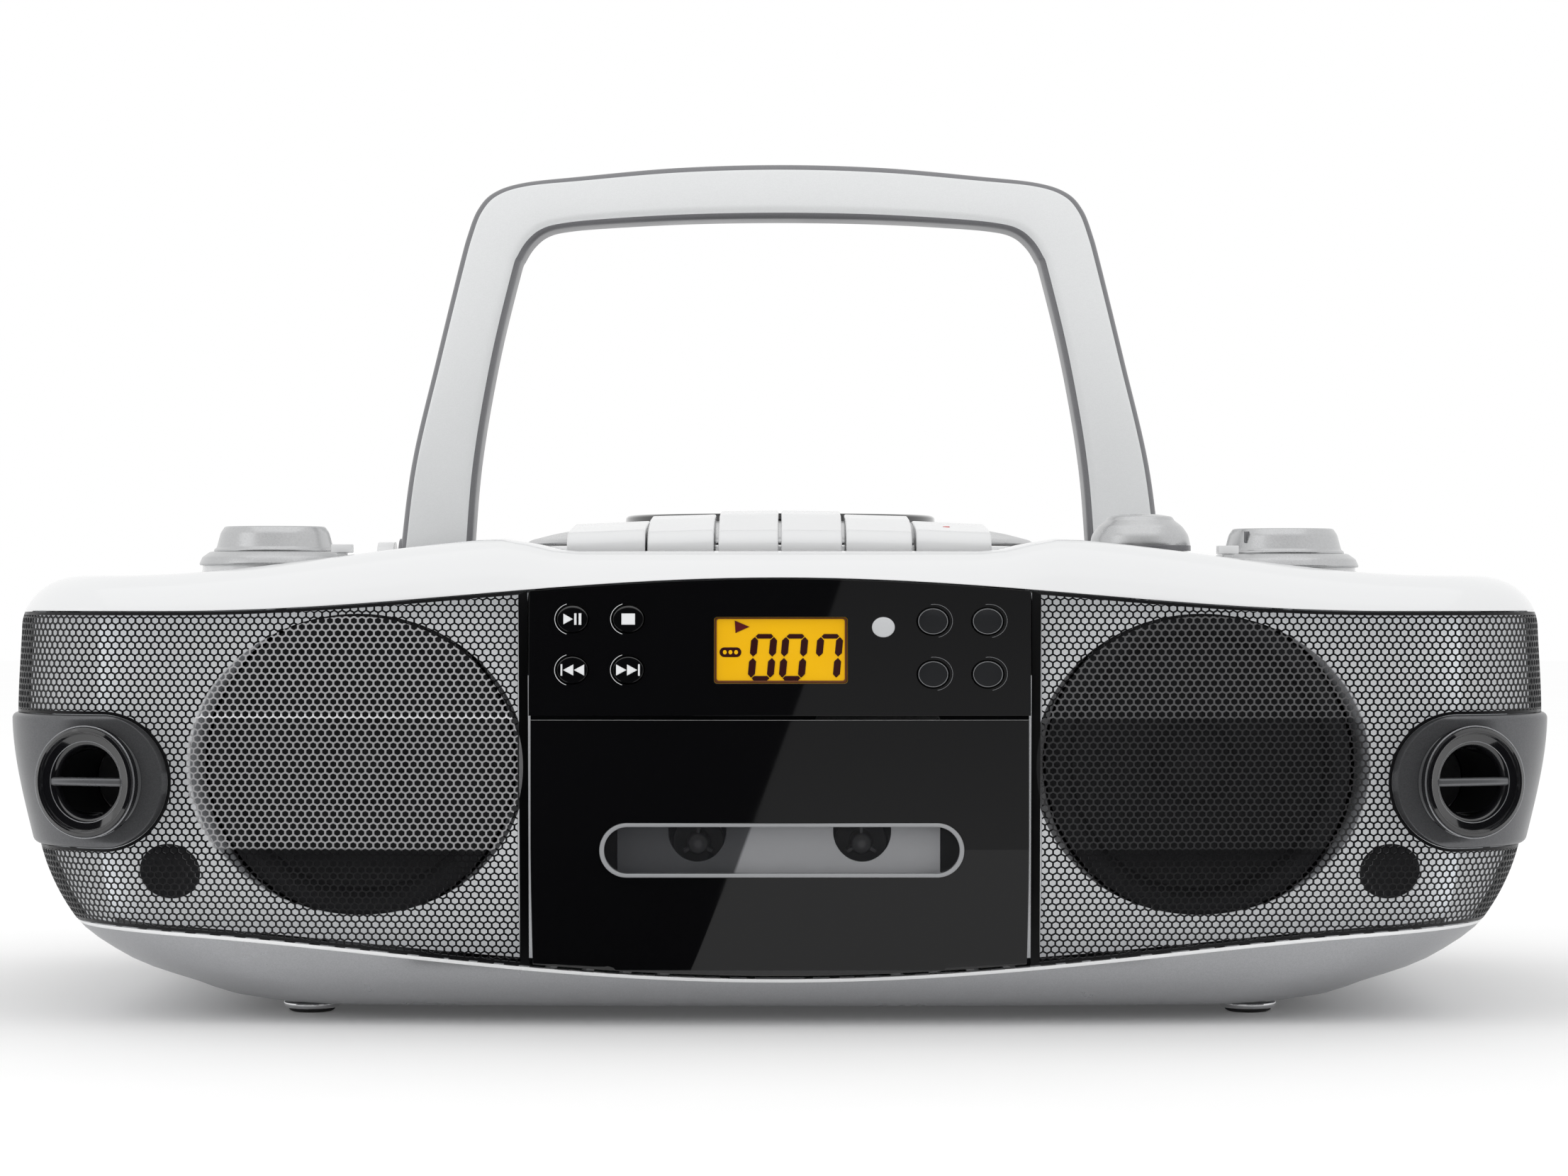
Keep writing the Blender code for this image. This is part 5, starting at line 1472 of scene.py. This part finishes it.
def handle():
    """A broad arch: pale front and rear faces, rounded sides in darker grey as painted shade, and round feet on the
    pivot pins.
    """
    outer, inner = through(HANDLE_OUTER), through(HANDLE_INNER)
    section = []
    for sx, sy, start in ((1, -1, -90), (1, 1, 0), (-1, 1, 90), (-1, -1, 180)):
        for step in range(6):
            angle = math.radians(start + 90 * step / 5)
            section.append((sx, sy, math.cos(angle), math.sin(angle)))
    stations = [(-1, i) for i in range(len(outer) - 1, 0, -1)] + [(1, i) for i in range(len(outer))]
    radius_in, radius_out, depth_r = 4.0, 2.4, 3.0
    points = []
    for side, i in stations:
        start, end = outer[i], inner[i]
        width = (end - start).length
        across = (end - start) / width
        for sx, sy, cx, cy in section:
            reach = radius_in if sx > 0 else radius_out
            along = (width - reach + reach * cx) if sx > 0 else (reach + reach * cx)
            y = sy * (HANDLE_HALF_T - depth_r) + depth_r * cy
            spot = start + across * along
            points.append((side * spot.x, HANDLE_Y + y, spot.y))
    count = len(section)
    faces = grid_faces(len(stations), count, True)
    faces += [list(range(count))[::-1], [(len(stations) - 1) * count + v for v in range(count)]]
    arch = make_object("carrying_handle", points, faces, (HANDLE_FACE, DARK_SILVER_AND_SIDE_SHADE))
    bm = bmesh.new()
    bm.from_mesh(arch.data)
    bmesh.ops.recalc_face_normals(bm, faces=bm.faces)
    bm.to_mesh(arch.data)
    bm.free()
    feet = [cylinder("foot", (side * 89.1, HANDLE_Y, HANDLE_Z), (side * 109.8, HANDLE_Y, HANDLE_Z), HANDLE_HALF_T,
                     DARK_SILVER_AND_SIDE_SHADE) for side in (-1, 1)]
    combine(arch, "UNION", *feet)
    pins = [cylinder("pin hole", (side * 100, HANDLE_Y, HANDLE_Z), (side * 115, HANDLE_Y, HANDLE_Z), 4.4, DARK_SILVER_AND_SIDE_SHADE)
            for side in (-1, 1)]
    combine(arch, "DIFFERENCE", *pins)
    shade(arch, 40.0)
    # Faces looking front or back keep the pale silver; the rounded sides get the darker grey as painted shade.
    for polygon in arch.data.polygons:
        polygon.material_index = 0 if abs(polygon.normal.y) > 0.88 else 1
    settle(arch, "handle", ("handle",))




# ---------------------------------------------------------------- CD compartment
LID_R = 74.5
LID_HINGE = (98.2, 129.2)


def cd_compartment():
    """The lid with its black ring and smoked window, the well, the spindle and the laser pickup."""
    base = DRUM_Z + 0.5
    profile = rounded([(0.0, 134.6), (39.0, 133.4), (41.0, 133.3), (45.0, 133.7), (52.0, 133.0), (66.0, 130.4),
                       (73.0, 128.6), (LID_R, base + 0.4), (LID_R - 0.3, base), (72.6, base), (66.0, 128.6), (52.0, 131.2), (30.0, 132.3),
                       (0.0, 132.9)], 1.2, 4)
    lid = turned("cd_lid_cover", profile, LID_SILVER, (0, DRUM_Y, 0), steps=160, smooth_below=45.0)
    hinge_y, hinge_z = LID_HINGE
    barrel = cylinder("barrel", (-19.4, hinge_y, hinge_z), (19.4, hinge_y, hinge_z), 2.2, LID_SILVER, 48)
    arm = box("arm", -19.0, 19.0, 91.0, hinge_y, 127.7, 129.4, LID_SILVER, 0.3)
    pin = cylinder("pin", (-22.4, hinge_y, hinge_z), (22.4, hinge_y, hinge_z), 1.2, LID_SILVER, 24)
    combine(lid, "UNION", barrel, arm, pin)
    shade(lid, 40.0)
    settle(lid, "cd_lid", ("cd_lid",))
    ring = rounded([(41.2, 133.0), (41.2, 135.3), (42.0, 135.8), (44.4, 135.8), (45.2, 135.2), (45.4, 133.0)], 0.3, 3)
    settle(turned("lid_ring", ring, GLOSS, (0, DRUM_Y, 0), steps=160, closed=True), "cd_lid")
    glass = [(0.0, 136.0), (20.0, 135.8), (41.2, 134.9), (41.2, 134.2), (20.0, 135.0), (0.0, 135.2)]
    settle(turned("lid_window", glass, SMOKED, (0, DRUM_Y, 0), steps=160), "cd_lid")

    well = rounded([(63.4, 123.6), (65.0, 123.6), (65.0, 122.4), (63.6, 112.0), (14.0, 112.0), (14.0, 113.6),
                    (60.2, 113.6), (60.6, 114.4), (62.6, 115.0)], 0.4, 3)
    tray = turned("disc_well", well, GREY, (0, DRUM_Y, 0), steps=128, closed=True)
    combine(tray, "DIFFERENCE", box("pickup slot", -8, 8, DRUM_Y - 56, DRUM_Y - 18, 105, 118, GREY))
    shade(tray)
    settle(tray, "cabinet", ("cd_well",))
    hub = rounded([(5.0, -14.0), (5.0, 0.0), (12.0, 0.0), (12.0, 1.6), (7.2, 2.0), (7.2, 5.4), (5.6, 7.0),
                   (2.0, 7.0), (1.6, 6.4), (0.0, 6.4)], 0.4, 4)
    spindle = turned("disc_hub", hub, BLACK, (0, DRUM_Y, 114.4), steps=96)
    settle(spindle, "cd_spindle", ("cd_spindle",))
    for turn in range(3):
        angle = turn * 2 * math.pi / 3 + 0.5
        ball = turned(f"disc_clip_{turn}", rounded([(0.0, -1.1), (1.1, -1.1), (1.1, 1.1), (0.0, 1.1)], 0.8, 5), STEEL,
                      (6.6 * math.cos(angle), DRUM_Y + 6.6 * math.sin(angle), 118.2), steps=24)
        settle(ball, "cd_spindle")
    pickup = box("laser_pickup", -14, 14, DRUM_Y - 36, DRUM_Y - 16, 103, 111.2, BLACK, 0.8)
    combine(pickup, "UNION", cylinder("barrel", (0, DRUM_Y - 27, 108), (0, DRUM_Y - 27, 113.0), 4.0, BLACK))
    shade(pickup)
    settle(pickup, "cd_pickup", ("cd_pickup",))
    lens = turned("laser_lens", [(3.0, 0.0), (3.0, 0.3), (2.2, 0.45), (1.0, 0.7), (0.0, 0.8), (0.0, 0.0)], LENS,
                  (0, DRUM_Y - 27, 112.9), steps=48)
    settle(lens, "cd_pickup")




# ---------------------------------------------------------------- feet, back and inside
FEET = {"front_left_foot": (-127, -64), "front_right_foot": (127, -64), "rear_left_foot": (-127, 66),
        "rear_right_foot": (127, 66)}


def feet():
    for name, (x, y) in FEET.items():
        pad = rounded([(0.0, 0.0), (5.3, 0.0), (6.2, 0.5), (6.3, 1.4), (5.0, 1.4), (5.0, 2.0), (0.0, 2.0)], 0.3, 4)
        settle(turned(f"{name}_pad", pad, RUBBER, (x, y, 0.0), steps=64), "cabinet", (name,))
        ring = rounded([(5.1, 1.1), (7.2, 1.1), (7.6, 1.5), (7.6, 2.7), (5.1, 2.7)], 0.3, 3)
        settle(turned(f"{name}_ring", ring, CHROME, (x, y, 0.0), steps=64, closed=True), "cabinet")


def back_fittings():
    """Battery door with its latch and ribs, mains inlet with pins, and the telescopic aerial."""
    x0, x1, z0, z1 = BATTERY
    door = box("battery_cover", x0 - 4.6, x1 + 4.6, 110.3, 112.6, z0 - 2.6, z1 + 2.6, BLACK, 0.6)
    grooves = [box("groove", side * 46.0 - 9.0, side * 46.0 + 9.0, 112.1, 113, z1 - 4.0 - 2.4 * step,
                   z1 - 3.0 - 2.4 * step, BLACK) for side in (-1, 1) for step in range(5)]
    finger = prism("finger dip", stadium(-11, 11, z1 - 9, z1 - 3, 12), 111.6, 114, BLACK)
    combine(door, "DIFFERENCE", finger, *grooves)
    shade(door)
    settle(door, "battery_door", ("battery_door",))
    x, z = INLET
    inlet = box("mains_inlet", x - 11.7, x + 11.7, 92, 113.0, z - 7.7, z + 7.7, BLACK, 0.5)
    combine(inlet, "DIFFERENCE", prism("socket", stadium(x - 8.5, x + 8.5, z - 4.5, z + 4.5, 20), 98, 120, BLACK))
    shade(inlet)
    settle(inlet, "cabinet", ("ac_inlet",))
    for side in (-1, 1):
        pin = cylinder(f"inlet_pin_{side}", (x + side * 4.3, 96, z), (x + side * 4.3, 108.5, z), 1.2, STEEL, 32)
        round_edges(pin, 0.4, 3)
        settle(pin, "cabinet")
    ax, ay, az = ANTENNA
    base = turned("aerial_base", rounded([(0.0, ay + 3.0 - 112.7), (6.4, ay + 3.0 - 112.7), (7.0, 6.4), (7.0, 0.0),
                                          (3.0, 0.0), (3.0, -8.5), (0.0, -8.5)][::-1], 0.5, 4), BLACK,
                  (ax, 112.7, az), (0, 1, 0), 64)
    combine(base, "DIFFERENCE", box("knuckle slot", ax - 10, ax + 3.2, 113.9, ay + 5, az - 2.9, az + 2.9, BLACK))
    shade(base)
    settle(base, "antenna_base", ("antenna_base",))
    mast = turned("aerial_mast", [(0.0, 0.0), (1.6, 0.0), (2.4, 0.8), (2.4, 30.0), (2.5, 30.2), (2.5, 194.0),
                                  (1.75, 194.4), (1.75, 186.0), (0.0, 186.0)], CHROME, (ax - 0.6, ay, az), (-1, 0, 0), 48)
    settle(mast, "antenna_mast", ("antenna_mast",))
    tip = turned("aerial_rod", rounded([(0.0, -170.0), (1.3, -170.0), (1.3, 0.4), (2.2, 0.6), (2.6, 1.2), (2.6, 4.8),
                                        (2.0, 6.0), (0.0, 6.0)], 0.4, 4), CHROME, (-40.0, ay, az), (-1, 0, 0), 48)
    settle(tip, "antenna_tip", ("antenna_tip",))


def finish_plain_nodes():
    """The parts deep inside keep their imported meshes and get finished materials."""
    plain = {"main_board": BOARD, "transformer": STEEL, "capstan_flywheel": STEEL, "deck_motor": STEEL}
    for name, material in plain.items():
        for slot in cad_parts[name].material_slots:
            slot.material = material


def corner_glow_cards():
    """Pale card behind the grille's corners, above and below each port, glowing with the baffle's painted light."""
    for side in (-1, 1):
        for index, (z0, z1) in enumerate(((22.0, 46.0), (82.6, 108.0))):
            rows, columns = 16, 30
            z = np.repeat(np.linspace(z0, z1, rows), columns)
            share = np.tile(np.linspace(0.0, 1.0, columns), rows)
            end = side_end(z) - 2.0
            u = 178.0 + (end - 178.0) * share
            low = grille_low(u, 0.5)
            z = np.maximum(z, low)
            faces = grid_faces(rows, columns)
            points, faces = closed_shell(surface(u, z, 3.2), surface(u, z, 4.0), faces)
            points = points * (side, 1.0, 1.0)
            if side < 0:
                faces = [list(face)[::-1] for face in faces]
            card = make_object(f"corner_card_{side}_{index}", points, faces, SILVER_BAFFLE_PAINTED_GLOW)
            settle(card, "cabinet")


piano_keys()
knobs()
handle()
cd_compartment()
feet()
back_fittings()
corner_glow_cards()
finish_plain_nodes()


# ---------------------------------------------------------------- floor, light and camera
def world_light(strength):
    world = bpy.data.worlds.new("studio")
    bpy.context.scene.world = world
    world.use_nodes = True
    background = world.node_tree.nodes["Background"]
    background.inputs["Color"].default_value = (1.0, 1.0, 1.0, 1.0)
    background.inputs["Strength"].default_value = strength


def area_light(name, place, target, width, height, power):
    data = bpy.data.lights.new(name, "AREA")
    data.shape = "RECTANGLE"
    data.size, data.size_y = width, height
    data.energy = power
    light = bpy.data.objects.new(name, data)
    bpy.context.scene.collection.objects.link(light)
    light.location = place
    light.rotation_euler = (Vector(target) - Vector(place)).to_track_quat("-Z", "Y").to_euler()
    return light


def floor():
    mesh = bpy.data.meshes.new("floor")
    mesh.from_pydata([(-4, -3, 0), (4, -3, 0), (4, 5, 0), (-4, 5, 0)], [], [(0, 1, 2, 3)])
    obj = bpy.data.objects.new("floor", mesh)
    bpy.context.scene.collection.objects.link(obj)
    mesh.materials.append(moulded("floor_paper", (0.95, 0.95, 0.95), 0.9, 0.05, 300.0, 0.05,
                                  Specular_IOR_Level=0.0, Emission_Strength=0.045))
    return obj


def camera():
    data = bpy.data.cameras.new("camera")
    data.lens = 89.3
    data.sensor_width = 36.0
    obj = bpy.data.objects.new("camera", data)
    bpy.context.scene.collection.objects.link(obj)
    obj.location = (0.0011, -1.12, 0.1147)
    obj.rotation_euler = (math.pi / 2, 0.0, 0.0)
    bpy.context.scene.camera = obj


def reflection_card(name, corners, material):
    """A card that only glossy surfaces see, as a photographer's flag or bounce card just out of frame."""
    mesh = bpy.data.meshes.new(name)
    mesh.from_pydata([tuple(value * MM for value in corner) for corner in corners], [],
                     [list(range(len(corners)))])
    mesh.materials.append(material)
    card = bpy.data.objects.new(name, mesh)
    bpy.context.scene.collection.objects.link(card)
    card.visible_camera = False
    card.visible_diffuse = False
    card.visible_shadow = False
    card.visible_transmission = False
    return card


def graded_card(name, low, high, z0, z1):
    """Soft grey light that changes from the card's foot to its head."""
    material = glow(name, 1.0)
    tree = material.node_tree
    height = add(tree, "SeparateXYZ", Vector=position(tree)).outputs["Z"]
    tree.links.new(between(tree, height, low, high, z0 * MM, z1 * MM), tree.nodes["Emission"].inputs["Strength"])
    return material


CARD_Y = -222.0
CARD_SIDE = 420.0
CARD_TOP = 190.0
EDGE_TOP = (20.0, 117.0)
EDGE_FOOT = (-28.3, 0.0)
MAT_NEAR, MAT_FAR = (-7.2, -222.0), (-27.3, -116.0)


def reflection_set():
    """Black flags in front of the set, and grey cards whose slanted edge shows in the gloss front."""
    dark = glow("flag_black", 0.0)
    grey = graded_card("card_grey", 0.34, 0.16, 0.0, 117.0)
    mat_grey = glow("mat_grey", 0.42)
    slope = (EDGE_TOP[0] - EDGE_FOOT[0]) / (EDGE_TOP[1] - EDGE_FOOT[1])
    edge_high = EDGE_FOOT[0] + slope * CARD_TOP
    y, side, top = CARD_Y, CARD_SIDE, CARD_TOP
    foot = 0.4
    reflection_card("flag_left", [(-side, y, foot), (EDGE_FOOT[0], y, foot), (edge_high, y, top), (-side, y, top)],
                    dark)
    reflection_card("card_right", [(EDGE_FOOT[0], y, foot), (100.0, y, foot), (100.0, y, top), (edge_high, y, top)],
                    grey)
    reflection_card("flag_right", [(100.0, y, foot), (side, y, foot), (side, y, top), (100.0, y, top)], dark)
    far_y = MAT_FAR[1]
    reflection_card("mat_left", [(-100.0, y, foot), (-100.0, far_y, foot), (*MAT_FAR, foot), (*MAT_NEAR, foot)],
                    dark)
    reflection_card("mat_right", [(*MAT_NEAR, foot), (*MAT_FAR, foot), (100.0, far_y, foot), (100.0, y, foot)],
                    mat_grey)


floor()
camera()
world_light(1.0)
area_light("top_box", (0.0, -0.3, 1.6), (0, 0, 0.1), 2.0, 1.6, 3.0)
area_light("left_box", (-1.5, -1.0, 0.7), (0, 0, 0.08), 1.0, 1.2, 1.5)
reflection_set()
bpy.context.scene.view_settings.view_transform = "Standard"
